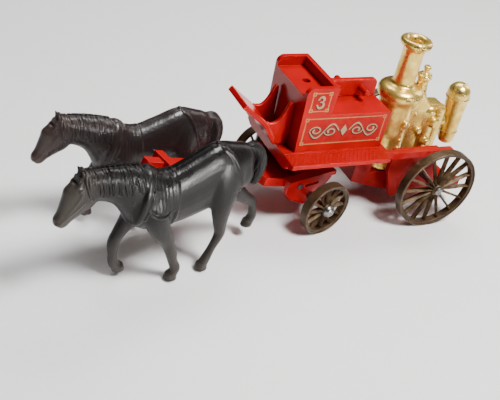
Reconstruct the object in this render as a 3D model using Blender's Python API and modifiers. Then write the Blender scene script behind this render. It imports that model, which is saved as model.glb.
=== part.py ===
"""A small diecast horse-drawn fire engine: a red body and underframe, a gold boiler and pump,
a steered fore carriage on a kingpin, a pole, and two horses pinned to its crossbar.
Metres, +Z up. The horses face -X, and the fore carriage stands turned by STEER_AT_REST."""

import math

import bmesh
import bpy
from mathutils import Matrix, Vector

MM = 0.001
GAP = 0.12 * MM
RUN = 0.2 * MM
LAP = 0.4 * MM
PAST = 1.0 * MM

# Wheels and axles
REAR_RADIUS = 12.0 * MM
REAR_TRACK = 36.3 * MM
REAR_WIDTH = 2.7 * MM
REAR_SPOKES = 16
REAR_HEAD = (1.15 * MM, 0.45 * MM)
FRONT_RADIUS = 7.51 * MM
FRONT_TRACK = 33.1 * MM
FRONT_WIDTH = 2.6 * MM
FRONT_SPOKES = 12
FRONT_HEAD = (1.75 * MM, 1.3 * MM)
WHEELBASE = 36.74 * MM
AXLE_RADIUS = 0.8 * MM
RIM_DEPTH = 1.15 * MM
HUB_RADIUS = 1.75 * MM
SPOKE_WIDTH = 0.62 * MM
STEER_AT_REST = math.radians(13.72)

# Body casting
DECK_TOP = 21.94 * MM
DECK_THICK = 1.8 * MM
DECK_FRONT = -46.42 * MM
BOARD_HALF = 15.27 * MM
RAIL_HALF = 12.9 * MM
RAIL_WIDTH = 1.7 * MM
RAIL_REAR = 5.04 * MM
FASCIA_HALF = 12.3 * MM
FASCIA_DROP = 3.4 * MM
WALL = 1.36 * MM
BOX_HALF = 9.2 * MM
BOX_FRONT_LOW = -43.11 * MM
SEAT_FRONT = -43.63 * MM
SEAT_TOP = 37.6 * MM
SEAT_RAIL_TOP = 40.31 * MM
SEAT_BACK_TOP = -34.6 * MM
SEAT_BACK_LOW = -35.4 * MM
SEAT_CORNER = 1.9 * MM
LOCKER_TOP = 32.79 * MM
LOCKER_REAR = -17.24 * MM
SEAT_HOLE = 1.1 * MM

# Back rest along the locker
REST_TOP = 37.76 * MM
REST_THICK = 1.5 * MM
REST_CORNER = 1.4 * MM
PEG_RADIUS = 0.65 * MM
PEG_REACH = 4.6 * MM
PEG_HEIGHT = 35.5 * MM
NEAR_PEG_X = -22.7 * MM
FAR_PEG_X = -27.3 * MM

# Footboard: its inner face runs from the deck to the bend and on to the tip
FOOT_HALF = 5.0 * MM
FOOT_THICK = 1.1 * MM
FOOT_BEND = Vector((-49.9 * MM, 28.2 * MM))
FOOT_TIP = Vector((-57.1 * MM, 34.2 * MM))
CHEEK_THICK = 1.0 * MM
CHEEK_TOP = 34.2 * MM

# Boiler
BOILER_X = -8.8 * MM
BOILER_LOW = 10.7 * MM
BARREL_RADIUS = 5.0 * MM
SKIRT = 0.45 * MM
SHOULDER_RADIUS = 6.35 * MM
SHOULDER_LOW = 30.0 * MM
SHOULDER_HIGH = 35.6 * MM
CHIMNEY_RADIUS = 2.92 * MM
CHIMNEY_WALL = 0.9 * MM
CHIMNEY_TOP = 49.0 * MM
CHIMNEY_DEPTH = 7.0 * MM
LIP_RADIUS = 4.4 * MM
LIP_HEIGHT = 2.6 * MM

# Safety valve on a seat at the rear of the shoulder
VALVE_X = -2.3 * MM
VALVE_SEAT_RADIUS = 1.35 * MM
VALVE_SEAT_LOW = 32.0 * MM
VALVE_TALL = 5.2 * MM
VALVE_DISC = 1.95 * MM

# Pump and air vessel
PUMP_X = 2.65 * MM
PUMP_RADIUS = 3.4 * MM
PUMP_LOW = 15.2 * MM
PUMP_HIGH = 31.0 * MM
PUMP_CAP = 1.2 * MM
BLOCK_HALF = 2.9 * MM
OUTLET_HEIGHT = 24.4 * MM
OUTLET_RADIUS = 1.5 * MM
OUTLET_REACH = 5.2 * MM
ELBOW_HEIGHT = 18.6 * MM
ELBOW_REACH = 4.9 * MM
ARM_HEIGHT = 23.4 * MM
ARM_RADIUS = 1.7 * MM
VESSEL_X = 13.2 * MM
VESSEL_LOW = 15.6 * MM
VESSEL_TALL = 19.7 * MM
VESSEL_RADIUS = 3.25 * MM
VESSEL_TAPER = 0.75 * MM
VESSEL_LEAN = math.radians(5.0)
BAND_TALL = 0.5 * MM
BAND_PROUD = 0.2 * MM

# Base casting
BASE_HALF = 8.2 * MM
BASE_THICK = 1.5 * MM
ASH_FRONT = -19.8 * MM
ASH_REAR = -7.9 * MM
ASH_BACK = -3.5 * MM
ASH_HALF = 5.2 * MM
ASH_LOW_FRONT = 8.0 * MM
ASH_LOW_REAR = 4.2 * MM
BRACKET_HALF = 9.2 * MM
BRACKET_THICK = 1.5 * MM
BRACKET_FRONT = -11.5 * MM
BRACKET_HEEL = 13.2 * MM
STEP_FRONT = -8.4 * MM
STEP_REAR = 15.6 * MM
STEP_TOP = 8.4 * MM
STEP_LOW = 4.8 * MM
STEP_THICK = 1.2 * MM
ARM_THICK = 1.2 * MM
BOSS_RADIUS = 5.5 * MM
RIVET_RADIUS = 1.1 * MM
RIVET_X = -24.5 * MM
RIVET_HEAD = (1.87 * MM, 0.8 * MM)

# Fore carriage, whose own X also points to the rear
TABLE_TOP = 14.2 * MM
TABLE_THICK = 1.3 * MM
TABLE_HALF = 9.7 * MM
TABLE_FRONT = 9.2 * MM
TABLE_REAR = 7.2 * MM
CHEEK_HALF = 8.8 * MM
CHEEK_WALL = 1.4 * MM
CHEEK_LOW = 5.0 * MM
BED_HALF = 1.7 * MM
SLOT_LOW = 10.6 * MM
SLOT_HIGH = 11.5 * MM
SLOT_HALF = 2.3 * MM
KINGPIN_RADIUS = 1.2 * MM
KINGPIN_LOW = 9.51 * MM

# Pole and crossbar, set out from the pole's hinge
HINGE_S = 4.3 * MM
HINGE_Z = 11.2 * MM
HINGE_PIN_RADIUS = 0.75 * MM
POLE_RISE = math.radians(15.6)
POLE_LENGTH = 45.8 * MM
POLE_HALF = 1.3 * MM
POLE_THICK = 2.8 * MM
POLE_HEEL = 1.6 * MM
SPLINTER_HALF = 6.9 * MM
SPLINTER_LENGTH = 11.6 * MM
SPLINTER_THICK = 2.4 * MM
SPLINTER_TAPER = 1.5 * MM
BAR_AT = 40.3 * MM
BAR_HALF = 3.3 * MM
BAR_WIDTH = 2.3 * MM
BAR_RISE = 0.7 * MM
BAR_LOW = -0.4 * MM

# Horses, each set out from a point on the ground below its withers
NEAR_HORSE = {"ahead": 51.5 * MM, "side": -11.6 * MM, "turn": -1.0, "tilt": 0.0, "size": 1.0}
FAR_HORSE = {"ahead": 49.6 * MM, "side": 9.0 * MM, "turn": -4.5, "tilt": 4.0, "size": 0.925}
LEG_SIDE = 3.2 * MM
HORSE_PIN_RADIUS = 0.6 * MM
HORSE_PIN_DEPTH = 3.4 * MM
FLANK_HALF = 4.0 * MM
VOXEL = 0.42 * MM
KEPT_FACES = 0.034

# Millimetres ahead of that point and above the ground: station, top, underside, half width
HORSE_TRUNK = [
    (-27.0, 28.9, 22.5, 2.2),
    (-24.0, 31.1, 19.6, 3.5),
    (-19.0, 32.9, 17.4, 3.9),
    (-13.5, 33.9, 16.2, 4.0),
    (-7.0, 31.4, 14.9, 4.0),
    (-1.0, 29.5, 14.7, 4.0),
    (4.0, 31.6, 15.2, 3.8),
    (8.0, 32.6, 18.8, 3.2),
    (11.5, 33.3, 23.8, 2.7),
    (15.0, 33.7, 25.8, 2.3),
    (18.6, 33.9, 26.4, 2.2),
    (20.6, 33.6, 29.0, 1.6),
]
# Station, height, half thickness along the run, half thickness across
HORSE_HEAD = [
    (18.4, 30.2, 3.6, 2.2),
    (19.6, 28.0, 4.3, 2.3),
    (21.2, 25.9, 3.1, 2.0),
    (22.7, 23.9, 2.1, 1.6),
    (23.9, 22.5, 1.8, 1.5),
    (24.5, 21.7, 1.1, 1.1),
]
STANDING_FORE = [
    (2.5, 20.5, 3.3, 2.2),
    (0.6, 15.8, 2.5, 1.9),
    (-1.8, 11.8, 1.6, 1.4),
    (-3.1, 8.8, 1.3, 1.2),
    (-4.2, 5.2, 0.95, 0.95),
    (-5.2, 2.8, 1.25, 1.15),
    (-4.6, 1.3, 1.35, 1.3),
    (-4.2, 0.0, 1.75, 1.55),
]
RAISED_FORE = [
    (3.6, 20.0, 3.2, 2.2),
    (5.0, 16.0, 2.4, 1.8),
    (7.2, 12.4, 1.6, 1.4),
    (8.3, 9.9, 1.35, 1.2),
    (8.1, 6.4, 0.95, 0.95),
    (7.8, 3.9, 1.25, 1.1),
    (6.9, 2.4, 1.3, 1.25),
    (6.2, 1.3, 1.55, 1.45),
]
LEADING_HIND = [
    (-14.6, 23.5, 4.4, 2.3),
    (-14.6, 18.0, 3.3, 2.2),
    (-15.7, 12.8, 1.9, 1.5),
    (-16.5, 9.5, 1.4, 1.2),
    (-15.2, 5.9, 1.0, 1.0),
    (-14.1, 3.2, 1.25, 1.1),
    (-13.3, 1.4, 1.3, 1.3),
    (-12.9, 0.0, 1.7, 1.55),
]
TRAILING_HIND = [
    (-20.0, 23.0, 4.4, 2.3),
    (-23.0, 17.5, 3.2, 2.1),
    (-27.4, 13.3, 1.9, 1.5),
    (-30.6, 10.8, 1.45, 1.2),
    (-31.4, 8.2, 1.05, 1.0),
    (-31.9, 6.3, 1.25, 1.1),
    (-31.3, 4.8, 1.3, 1.25),
    (-30.5, 3.4, 1.5, 1.45),
]
HORSE_TAIL = [
    (-25.4, 29.0, 1.5, 1.5),
    (-27.8, 27.6, 1.7, 1.8),
    (-28.9, 24.6, 2.0, 2.1),
    (-28.6, 21.2, 1.9, 2.0),
    (-27.6, 18.6, 1.1, 1.3),
]
EAR_FOOT = (19.6 * MM, 1.0 * MM, 33.2 * MM)
EAR_TIP = (20.4 * MM, 1.25 * MM, 35.7 * MM)
EAR_RADIUS = (0.75 * MM, 0.2 * MM)

for old in list(bpy.data.objects):
    bpy.data.objects.remove(old)
parts = bpy.data.collections.new("fire_engine")
bpy.context.scene.collection.children.link(parts)


def paint(name, colour, rough, metal=0.0):
    material = bpy.data.materials.new(name)
    material.use_nodes = True
    shader = material.node_tree.nodes["Principled BSDF"]
    shader.inputs["Base Color"].default_value = (*colour, 1.0)
    shader.inputs["Roughness"].default_value = rough
    shader.inputs["Metallic"].default_value = metal
    return material


RED = paint("red_enamel", (0.55, 0.012, 0.012), 0.22)
DARK_RED = paint("underframe_red", (0.38, 0.012, 0.014), 0.3)
GOLD = paint("gold_plate", (0.83, 0.62, 0.22), 0.2, 1.0)
BRONZE = paint("bronze_plastic", (0.11, 0.082, 0.05), 0.4, 0.3)
STEEL = paint("bright_steel", (0.7, 0.7, 0.68), 0.25, 1.0)
BLACK = paint("black_plastic", (0.02, 0.019, 0.021), 0.35)


def add(mesh, name):
    obj = bpy.data.objects.new(name, mesh)
    parts.objects.link(obj)
    return obj


def moved_in(obj):
    for collection in list(obj.users_collection):
        collection.objects.unlink(obj)
    parts.objects.link(obj)
    return obj


def baked(obj):
    """The object as a plain mesh, its modifiers or curve worked out and its caps welded."""
    bpy.context.view_layer.update()
    graph = bpy.context.evaluated_depsgraph_get()
    mesh = bpy.data.meshes.new_from_object(obj.evaluated_get(graph))
    mesh.transform(obj.matrix_world)
    name = obj.name
    bpy.data.objects.remove(obj)
    result = add(mesh, name)
    weld = result.modifiers.new("weld", "WELD")
    weld.merge_threshold = 0.001 * MM
    graph = bpy.context.evaluated_depsgraph_get()
    result.data = bpy.data.meshes.new_from_object(result.evaluated_get(graph))
    result.modifiers.clear()
    return result


def box(name, low, high):
    bpy.ops.mesh.primitive_cube_add(size=1)
    obj = bpy.context.object
    obj.name = name
    middle = (Vector(low) + Vector(high)) / 2
    size = Vector(high) - Vector(low)
    obj.data.transform(Matrix.Translation(middle) @ Matrix.Diagonal((*size, 1)))
    return moved_in(obj)


def rod(name, radius, start, end, sides=24, end_radius=None):
    """A round bar, or a cone, from one point to another."""
    start, end = Vector(start), Vector(end)
    last = radius if end_radius is None else end_radius
    bpy.ops.mesh.primitive_cone_add(
        vertices=sides, radius1=radius, radius2=last, depth=(end - start).length
    )
    obj = bpy.context.object
    obj.name = name
    turn = (end - start).to_track_quat("Z", "Y").to_matrix().to_4x4()
    obj.data.transform(Matrix.Translation((start + end) / 2) @ turn)
    return moved_in(obj)


def turned(name, profile, sides=32):
    """A turned solid about Z: the profile's (radius, height) points run from top to bottom."""
    mesh = bpy.data.meshes.new(name)
    points = [(radius, 0, height) for radius, height in profile]
    mesh.from_pydata(points, [(i, i + 1) for i in range(len(points) - 1)], [])
    obj = add(mesh, name)
    screw = obj.modifiers.new("turn", "SCREW")
    screw.steps = screw.render_steps = sides
    screw.use_merge_vertices = True
    screw.merge_threshold = 0.001 * MM
    solid = baked(obj)
    skin = bmesh.new()
    skin.from_mesh(solid.data)
    bmesh.ops.recalc_face_normals(skin, faces=skin.faces)
    skin.to_mesh(solid.data)
    skin.free()
    return solid


def sheet(name, outline, low, high, plane="XZ"):
    """A flat outline given a thickness between two values of the third axis."""
    curve = bpy.data.curves.new(name, "CURVE")
    curve.dimensions = "2D"
    curve.fill_mode = "BOTH"
    curve.extrude = (high - low) / 2
    line = curve.splines.new("POLY")
    line.points.add(len(outline) - 1)
    for point, (u, v) in zip(line.points, outline):
        point.co = (u, v, 0, 1)
    line.use_cyclic_u = True
    obj = add(curve, name)
    middle = (low + high) / 2
    if plane == "XZ":
        upright = Matrix.Rotation(math.radians(90), 4, "X")
        obj.matrix_world = Matrix.Translation((0, middle, 0)) @ upright
    else:
        obj.matrix_world = Matrix.Translation((0, 0, middle))
    return baked(obj)


def arc(centre, radius, first, last, steps=6):
    """Points round part of a circle, with angles in degrees."""
    angles = [math.radians(first + (last - first) * i / steps) for i in range(steps + 1)]
    return [(centre[0] + radius * math.cos(a), centre[1] + radius * math.sin(a)) for a in angles]


def combined(obj, others, operation):
    for other in others:
        step = obj.modifiers.new(operation.lower(), "BOOLEAN")
        step.operation = operation
        step.solver = "EXACT"
        step.object = other
    result = baked(obj)
    for other in others:
        bpy.data.objects.remove(other)
    return result


def joined(obj, *others):
    return combined(obj, others, "UNION")


def cut(obj, *others):
    return combined(obj, others, "DIFFERENCE")


def dome_head(name, size, place, direction, sides=20):
    """A domed rivet head, (radius, height) in size, that starts flat at a place and bulges in a direction."""
    radius, height = size
    profile = [
        (radius * math.sin(math.radians(a)), height * math.cos(math.radians(a)))
        for a in (0, 25, 50, 72, 90)
    ]
    head = turned(name, profile + [(0, 0)], sides)
    turn = Vector(direction).to_track_quat("Z", "Y").to_matrix().to_4x4()
    head.data.transform(Matrix.Translation(place) @ turn)
    return head


def finish(obj, material, parent, origin=None):
    """Gives a piece its paint and its parent, and puts its origin where it turns."""
    if origin is not None:
        obj.data.transform(Matrix.Translation(-Vector(origin)))
        obj.location = origin
    obj.data.materials.clear()
    obj.data.materials.append(material)
    obj.data.shade_smooth()
    obj.data.set_sharp_from_angle(angle=math.radians(35))
    obj.parent = parent
    return obj


def empty(name, place, parent=None, turn=(0, 0, 0)):
    obj = bpy.data.objects.new(name, None)
    parts.objects.link(obj)
    obj.location = place
    obj.rotation_euler = turn
    obj.parent = parent
    return obj


root = empty("engine_frame", (0, 0, 0))
deck_low = DECK_TOP - DECK_THICK
box_inside = BOX_HALF - WALL
seat_middle = (SEAT_FRONT + SEAT_BACK_TOP) / 2


def body_casting():
    """Deck with running boards and rear rails, with the hollow seat and locker box on it."""
    deck_outline = [
        (DECK_FRONT, -BOARD_HALF),
        (LOCKER_REAR, -BOARD_HALF),
        (LOCKER_REAR, -RAIL_HALF),
        (RAIL_REAR, -RAIL_HALF),
        (RAIL_REAR, RAIL_HALF),
        (LOCKER_REAR, RAIL_HALF),
        (LOCKER_REAR, BOARD_HALF),
        (DECK_FRONT, BOARD_HALF),
    ]
    deck = sheet("body_casting", deck_outline, deck_low, DECK_TOP, "XY")
    corner = (SEAT_FRONT + SEAT_CORNER, SEAT_RAIL_TOP - SEAT_CORNER)
    box_outline = [
        (BOX_FRONT_LOW, deck_low + LAP),
        (LOCKER_REAR, deck_low + LAP),
        (LOCKER_REAR, LOCKER_TOP),
        (SEAT_BACK_LOW, LOCKER_TOP),
        (SEAT_BACK_TOP, SEAT_RAIL_TOP),
        *arc(corner, SEAT_CORNER, 90, 180),
    ]
    seat_box = sheet("seat_box", box_outline, -BOX_HALF, BOX_HALF)
    fascia = box(
        "fascia",
        (DECK_FRONT, -FASCIA_HALF, DECK_TOP - FASCIA_DROP),
        (DECK_FRONT + WALL, FASCIA_HALF, DECK_TOP - LAP),
    )
    tray = box(
        "tray",
        (SEAT_FRONT - PAST, -box_inside, SEAT_TOP),
        (SEAT_BACK_TOP - WALL, box_inside, SEAT_RAIL_TOP + PAST),
    )
    seat_room = box(
        "seat_room",
        (BOX_FRONT_LOW + WALL, -box_inside, deck_low - PAST),
        (SEAT_BACK_LOW - WALL, box_inside, SEAT_TOP - WALL),
    )
    locker_room = box(
        "locker_room",
        (SEAT_BACK_LOW - 2 * WALL, -box_inside, deck_low - PAST),
        (LOCKER_REAR - WALL, box_inside, LOCKER_TOP - WALL),
    )
    rear_well = box(
        "rear_well",
        (LOCKER_REAR + WALL, RAIL_WIDTH - RAIL_HALF, deck_low - PAST),
        (RAIL_REAR + PAST, RAIL_HALF - RAIL_WIDTH, DECK_TOP + PAST),
    )
    hole_top = (seat_middle, 0, SEAT_TOP + PAST)
    hole_low = (seat_middle, 0, SEAT_TOP - WALL - PAST)
    seat_hole = rod("seat_hole", SEAT_HOLE, hole_low, hole_top)
    body = joined(deck, seat_box, fascia)
    body = cut(body, tray, seat_room, locker_room, rear_well, seat_hole)
    finish(body, RED, root)


def locker_back_rest():
    """An upright slab along the middle of the locker, with a peg on each side."""
    foot = LOCKER_TOP + GAP
    lean = (SEAT_BACK_TOP - SEAT_BACK_LOW) / (SEAT_RAIL_TOP - LOCKER_TOP)
    front_low = SEAT_BACK_LOW + 2 * GAP
    front_top = front_low + lean * (REST_TOP - foot)
    rear = LOCKER_REAR - LAP
    outline = [
        (front_low, foot),
        (rear, foot),
        *arc((rear - REST_CORNER, REST_TOP - REST_CORNER), REST_CORNER, 0, 90),
        (front_top, REST_TOP),
    ]
    rest = sheet("locker_back_rest", outline, -REST_THICK / 2, REST_THICK / 2)
    pegs = [
        rod("peg", PEG_RADIUS, (x, 0, PEG_HEIGHT), (x, side * PEG_REACH, PEG_HEIGHT), 16)
        for x, side in ((NEAR_PEG_X, -1), (FAR_PEG_X, 1))
    ]
    finish(joined(rest, *pegs), RED, root)


def footboard():
    """A bent board ahead of the seat, with a curved cheek on each side."""
    low = DECK_TOP + GAP
    foot = Vector((DECK_FRONT + LAP, low))
    inner = [foot, FOOT_BEND, FOOT_TIP]
    outward = [
        Vector((here.y - there.y, there.x - here.x)).normalized() * FOOT_THICK
        for here, there in zip(inner, inner[1:])
    ]
    outer = [
        Vector((foot.x - FOOT_THICK, low)),
        FOOT_BEND + (outward[0] + outward[1]) / 2,
        FOOT_TIP + outward[1],
    ]
    outline = [tuple(p) for p in inner + outer[::-1]]
    board = sheet("footboard", outline, -FOOT_HALF, FOOT_HALF)
    cheek = [
        (foot.x - LAP, low + GAP),
        (BOX_FRONT_LOW - 2 * GAP, low + GAP),
        (SEAT_FRONT - 2 * GAP, CHEEK_TOP - 1.0 * MM),
        (SEAT_FRONT - 0.7 * MM, CHEEK_TOP),
        (SEAT_FRONT - 1.4 * MM, CHEEK_TOP - 0.5 * MM),
        (SEAT_FRONT - 2.2 * MM, CHEEK_TOP - 2.8 * MM),
        (SEAT_FRONT - 3.3 * MM, FOOT_BEND.y + 1.0 * MM),
        (SEAT_FRONT - 4.6 * MM, FOOT_BEND.y + 0.4 * MM),
        (FOOT_BEND.x - LAP, FOOT_BEND.y + LAP),
        (FOOT_BEND.x - LAP, FOOT_BEND.y),
    ]
    outer_face = FOOT_HALF - GAP
    inner_face = FOOT_HALF - CHEEK_THICK
    cheeks = [
        sheet("near_cheek", cheek, -outer_face, -inner_face),
        sheet("far_cheek", cheek, inner_face, outer_face),
    ]
    finish(joined(board, *cheeks), RED, root)


body_casting()
locker_back_rest()
footboard()

base_top = deck_low - GAP
base_low = base_top - BASE_THICK
well_front = LOCKER_REAR + WALL


def base_casting():
    """Plate, turntable boss, ash pan, rear axle brackets and the step behind."""
    plate_front = DECK_FRONT + WALL + LAP
    plate = box("base_casting", (plate_front, -BASE_HALF, base_low), (well_front, BASE_HALF, base_top))
    pan_top = BOILER_LOW - GAP
    pan_step = BOILER_X - BARREL_RADIUS - SKIRT - 2 * GAP
    ash_outline = [
        (ASH_FRONT, ASH_LOW_FRONT),
        (ASH_REAR, ASH_LOW_REAR),
        (ASH_BACK, ASH_LOW_REAR),
        (ASH_BACK, pan_top),
        (pan_step, pan_top),
        (pan_step, base_low + LAP),
        (ASH_FRONT, base_low + LAP),
    ]
    ash_pan = sheet("ash_pan", ash_outline, -ASH_HALF, ASH_HALF)
    bracket_outline = [
        (BRACKET_FRONT, base_top),
        (BRACKET_FRONT, BRACKET_HEEL),
        (STEP_FRONT, STEP_LOW),
        (STEP_REAR, STEP_LOW),
        (STEP_REAR, STEP_TOP),
        (RAIL_REAR, STEP_TOP + STEP_THICK),
        (RAIL_REAR - BRACKET_THICK, base_top),
    ]
    pieces = [ash_pan]
    for side in (-1, 1):
        faces = sorted((side * BRACKET_HALF, side * (BRACKET_HALF - BRACKET_THICK)))
        pieces.append(sheet("bracket", bracket_outline, *faces))
        arm_faces = sorted((side * (BRACKET_HALF - ARM_THICK), side * (BRACKET_HALF - GAP)))
        arm_low = (well_front - ARM_THICK, arm_faces[0], base_low)
        arm_high = (BRACKET_FRONT + PAST, arm_faces[1], base_top - GAP)
        pieces.append(box("side_arm", arm_low, arm_high))
    step_low = (STEP_FRONT + LAP, LAP - BRACKET_HALF, STEP_LOW + GAP)
    step_high = (STEP_REAR - GAP, BRACKET_HALF - LAP, STEP_LOW + STEP_THICK)
    pieces.append(box("step", step_low, step_high))
    wall_half = RAIL_HALF - PAST
    wall_low = (well_front - ARM_THICK - GAP, -wall_half, base_low - GAP)
    wall_high = (well_front - GAP, wall_half, base_top - GAP)
    pieces.append(box("cross_wall", wall_low, wall_high))
    boss_low = (-WHEELBASE, 0, TABLE_TOP + GAP)
    pieces.append(rod("boss", BOSS_RADIUS, boss_low, (-WHEELBASE, 0, base_low + LAP), 32))
    base = joined(plate, *pieces)
    axle_side = REAR_TRACK / 2
    axle_hole = rod(
        "axle_hole", AXLE_RADIUS + RUN, (0, -axle_side, REAR_RADIUS), (0, axle_side, REAR_RADIUS), 20
    )
    king_low = (-WHEELBASE, 0, 0)
    king_hole = rod("king_hole", KINGPIN_RADIUS + RUN, king_low, (-WHEELBASE, 0, DECK_TOP), 20)
    rivet_hole = rod("rivet_hole", RIVET_RADIUS + GAP, (RIVET_X, 0, 0), (RIVET_X, 0, DECK_TOP), 20)
    finish(cut(base, axle_hole, king_hole, rivet_hole), DARK_RED, root)


def base_rivet():
    """The rivet that closes the base against the body."""
    foot = (RIVET_X, 0, base_low - GAP - LAP)
    shank = rod("base_rivet", RIVET_RADIUS, foot, (RIVET_X, 0, base_top), 20)
    head = dome_head("head", RIVET_HEAD, (RIVET_X, 0, base_low - GAP), (0, 0, -1))
    finish(joined(shank, head), STEEL, root)


base_casting()
base_rivet()


def boiler():
    """Barrel with a skirt, a wide shoulder, and the chimney with its rolled lip."""
    bore = CHIMNEY_RADIUS - CHIMNEY_WALL
    lip_low = CHIMNEY_TOP - LIP_HEIGHT
    profile = [
        (0, CHIMNEY_TOP - CHIMNEY_DEPTH),
        (bore, CHIMNEY_TOP - CHIMNEY_DEPTH),
        (bore, lip_low),
        (LIP_RADIUS - 1.2 * MM, CHIMNEY_TOP - 0.5 * MM),
        (LIP_RADIUS - 0.8 * MM, CHIMNEY_TOP),
        (LIP_RADIUS - 0.25 * MM, CHIMNEY_TOP - 0.1 * MM),
        (LIP_RADIUS, CHIMNEY_TOP - 0.6 * MM),
        (LIP_RADIUS - 0.2 * MM, CHIMNEY_TOP - 1.2 * MM),
        (CHIMNEY_RADIUS + 0.2 * MM, lip_low),
        (CHIMNEY_RADIUS, lip_low - 0.8 * MM),
        (CHIMNEY_RADIUS, SHOULDER_HIGH + 0.3 * MM),
        (CHIMNEY_RADIUS + 0.9 * MM, SHOULDER_HIGH),
        (SHOULDER_RADIUS - 1.0 * MM, SHOULDER_HIGH - 1.0 * MM),
        (SHOULDER_RADIUS - 0.1 * MM, SHOULDER_HIGH - 2.4 * MM),
        (SHOULDER_RADIUS, SHOULDER_LOW + 2.2 * MM),
        (SHOULDER_RADIUS - 0.4 * MM, SHOULDER_LOW + 0.8 * MM),
        (BARREL_RADIUS, SHOULDER_LOW),
        (BARREL_RADIUS, BOILER_LOW + 1.6 * MM),
        (BARREL_RADIUS + SKIRT, BOILER_LOW + 1.1 * MM),
        (BARREL_RADIUS + SKIRT, BOILER_LOW + 0.5 * MM),
        (BARREL_RADIUS, BOILER_LOW),
        (0, BOILER_LOW),
    ]
    shell = turned("boiler", profile, 36)
    shell.data.transform(Matrix.Translation((BOILER_X, 0, 0)))
    seat_top = (VALVE_X, 0, SHOULDER_HIGH)
    seat = rod("seat", VALVE_SEAT_RADIUS, (VALVE_X, 0, VALVE_SEAT_LOW), seat_top, 20)
    gauge_in = (BOILER_X, LAP - BARREL_RADIUS, ARM_HEIGHT)
    gauge_out = (BOILER_X, -BARREL_RADIUS - PAST, ARM_HEIGHT)
    gauge = rod("gauge", 1.1 * MM, gauge_in, gauge_out, 16)
    finish(joined(shell, seat, gauge), GOLD, root)


def safety_valve():
    """A stem, a disc and a knob, on the seat behind the chimney."""
    low = SHOULDER_HIGH + GAP
    top = low + VALVE_TALL
    profile = [
        (0, top),
        (0.85 * MM, top),
        (0.95 * MM, top - 0.9 * MM),
        (0.6 * MM, top - 1.2 * MM),
        (0.6 * MM, top - 2.4 * MM),
        (VALVE_DISC, top - 2.6 * MM),
        (VALVE_DISC, top - 3.5 * MM),
        (VALVE_SEAT_RADIUS, top - 4.0 * MM),
        (VALVE_SEAT_RADIUS, low),
        (0, low),
    ]
    valve = turned("safety_valve", profile, 20)
    valve.data.transform(Matrix.Translation((VALVE_X, 0, 0)))
    finish(valve, GOLD, root)


def pump():
    """An upright barrel with a block toward the boiler, two outlets and the arm to the air vessel."""
    shoulder = PUMP_HIGH - PUMP_CAP
    barrel = rod("pump", PUMP_RADIUS, (PUMP_X, 0, PUMP_LOW), (PUMP_X, 0, shoulder), 28)
    cap_top = (PUMP_X, 0, PUMP_HIGH)
    cap = rod("cap", PUMP_RADIUS, (PUMP_X, 0, shoulder - LAP), cap_top, 28, PUMP_RADIUS / 2)
    block_front = BOILER_X + BARREL_RADIUS + 2 * GAP
    block = box(
        "block",
        (block_front, -BLOCK_HALF, PUMP_LOW),
        (PUMP_X, BLOCK_HALF, SHOULDER_LOW - PAST),
    )
    lean = (ARM_HEIGHT + ARM_RADIUS - VESSEL_LOW) * math.tan(VESSEL_LEAN)
    arm_end = VESSEL_X - lean - VESSEL_RADIUS + VESSEL_TAPER / 2 - 2 * GAP
    arm = rod("arm", ARM_RADIUS, (PUMP_X, 0, ARM_HEIGHT), (arm_end, 0, ARM_HEIGHT), 20)
    outlet_x = PUMP_X + LAP
    outlet_end = (outlet_x, -OUTLET_REACH, OUTLET_HEIGHT)
    outlet = rod("outlet", OUTLET_RADIUS, (outlet_x, 0, OUTLET_HEIGHT), outlet_end, 20)
    elbow_end = (PUMP_X, -ELBOW_REACH, ELBOW_HEIGHT)
    elbow = rod("elbow", OUTLET_RADIUS, (PUMP_X, 0, ELBOW_HEIGHT), elbow_end, 20, OUTLET_RADIUS - LAP)
    finish(joined(barrel, cap, block, arm, outlet, elbow), GOLD, root)


def air_vessel():
    """A tapered, domed bottle with two raised bands, leaning a little forward."""
    foot_radius = VESSEL_RADIUS - VESSEL_TAPER
    upper = VESSEL_TALL - VESSEL_RADIUS - 1.0 * MM
    lower = 3.3 * MM
    dome = [
        (VESSEL_RADIUS * math.sin(math.radians(a)), VESSEL_TALL - VESSEL_RADIUS * (1 - math.cos(math.radians(a))))
        for a in (0, 20, 40, 60, 80)
    ]
    profile = dome + [
        (VESSEL_RADIUS, upper + BAND_TALL),
        (VESSEL_RADIUS + BAND_PROUD, upper + BAND_TALL),
        (VESSEL_RADIUS + BAND_PROUD, upper),
        (VESSEL_RADIUS, upper),
        (foot_radius, lower + BAND_TALL),
        (foot_radius + BAND_PROUD, lower + BAND_TALL),
        (foot_radius + BAND_PROUD, lower),
        (foot_radius, lower),
        (foot_radius, 0.9 * MM),
        (foot_radius / 2, 0),
        (0, 0),
    ]
    vessel = turned("air_vessel", profile, 28)
    lean = Matrix.Rotation(-VESSEL_LEAN, 4, "Y")
    vessel.data.transform(Matrix.Translation((VESSEL_X, 0, VESSEL_LOW)) @ lean)
    finish(vessel, GOLD, root)


boiler()
safety_valve()
pump()
air_vessel()


def wheel(name, radius, width, spokes, side_place, parent):
    """A spoked wheel about Y, on its axle's middle line."""
    half = width / 2
    rim = rod(name, radius, (0, -half, 0), (0, half, 0), 40)
    inside = rod("inside", radius - RIM_DEPTH, (0, -width, 0), (0, width, 0), 40)
    rim = cut(rim, inside)
    hub = rod("hub", HUB_RADIUS, (0, -half, 0), (0, half, 0), 20)
    reach = radius - RIM_DEPTH / 2
    bars = []
    for i in range(spokes // 2):
        bar_low = (-reach, -half / 2, -SPOKE_WIDTH / 2)
        bar = box("spoke", bar_low, (reach, half / 2, SPOKE_WIDTH / 2))
        bar.data.transform(Matrix.Rotation(math.tau * i / spokes, 4, "Y"))
        bars.append(bar)
    whole = joined(rim, hub, *bars)
    bore = rod("bore", AXLE_RADIUS + RUN, (0, -width, 0), (0, width, 0), 20)
    whole = cut(whole, bore)
    whole.location = (0, side_place, radius)
    finish(whole, BRONZE, parent)


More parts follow.
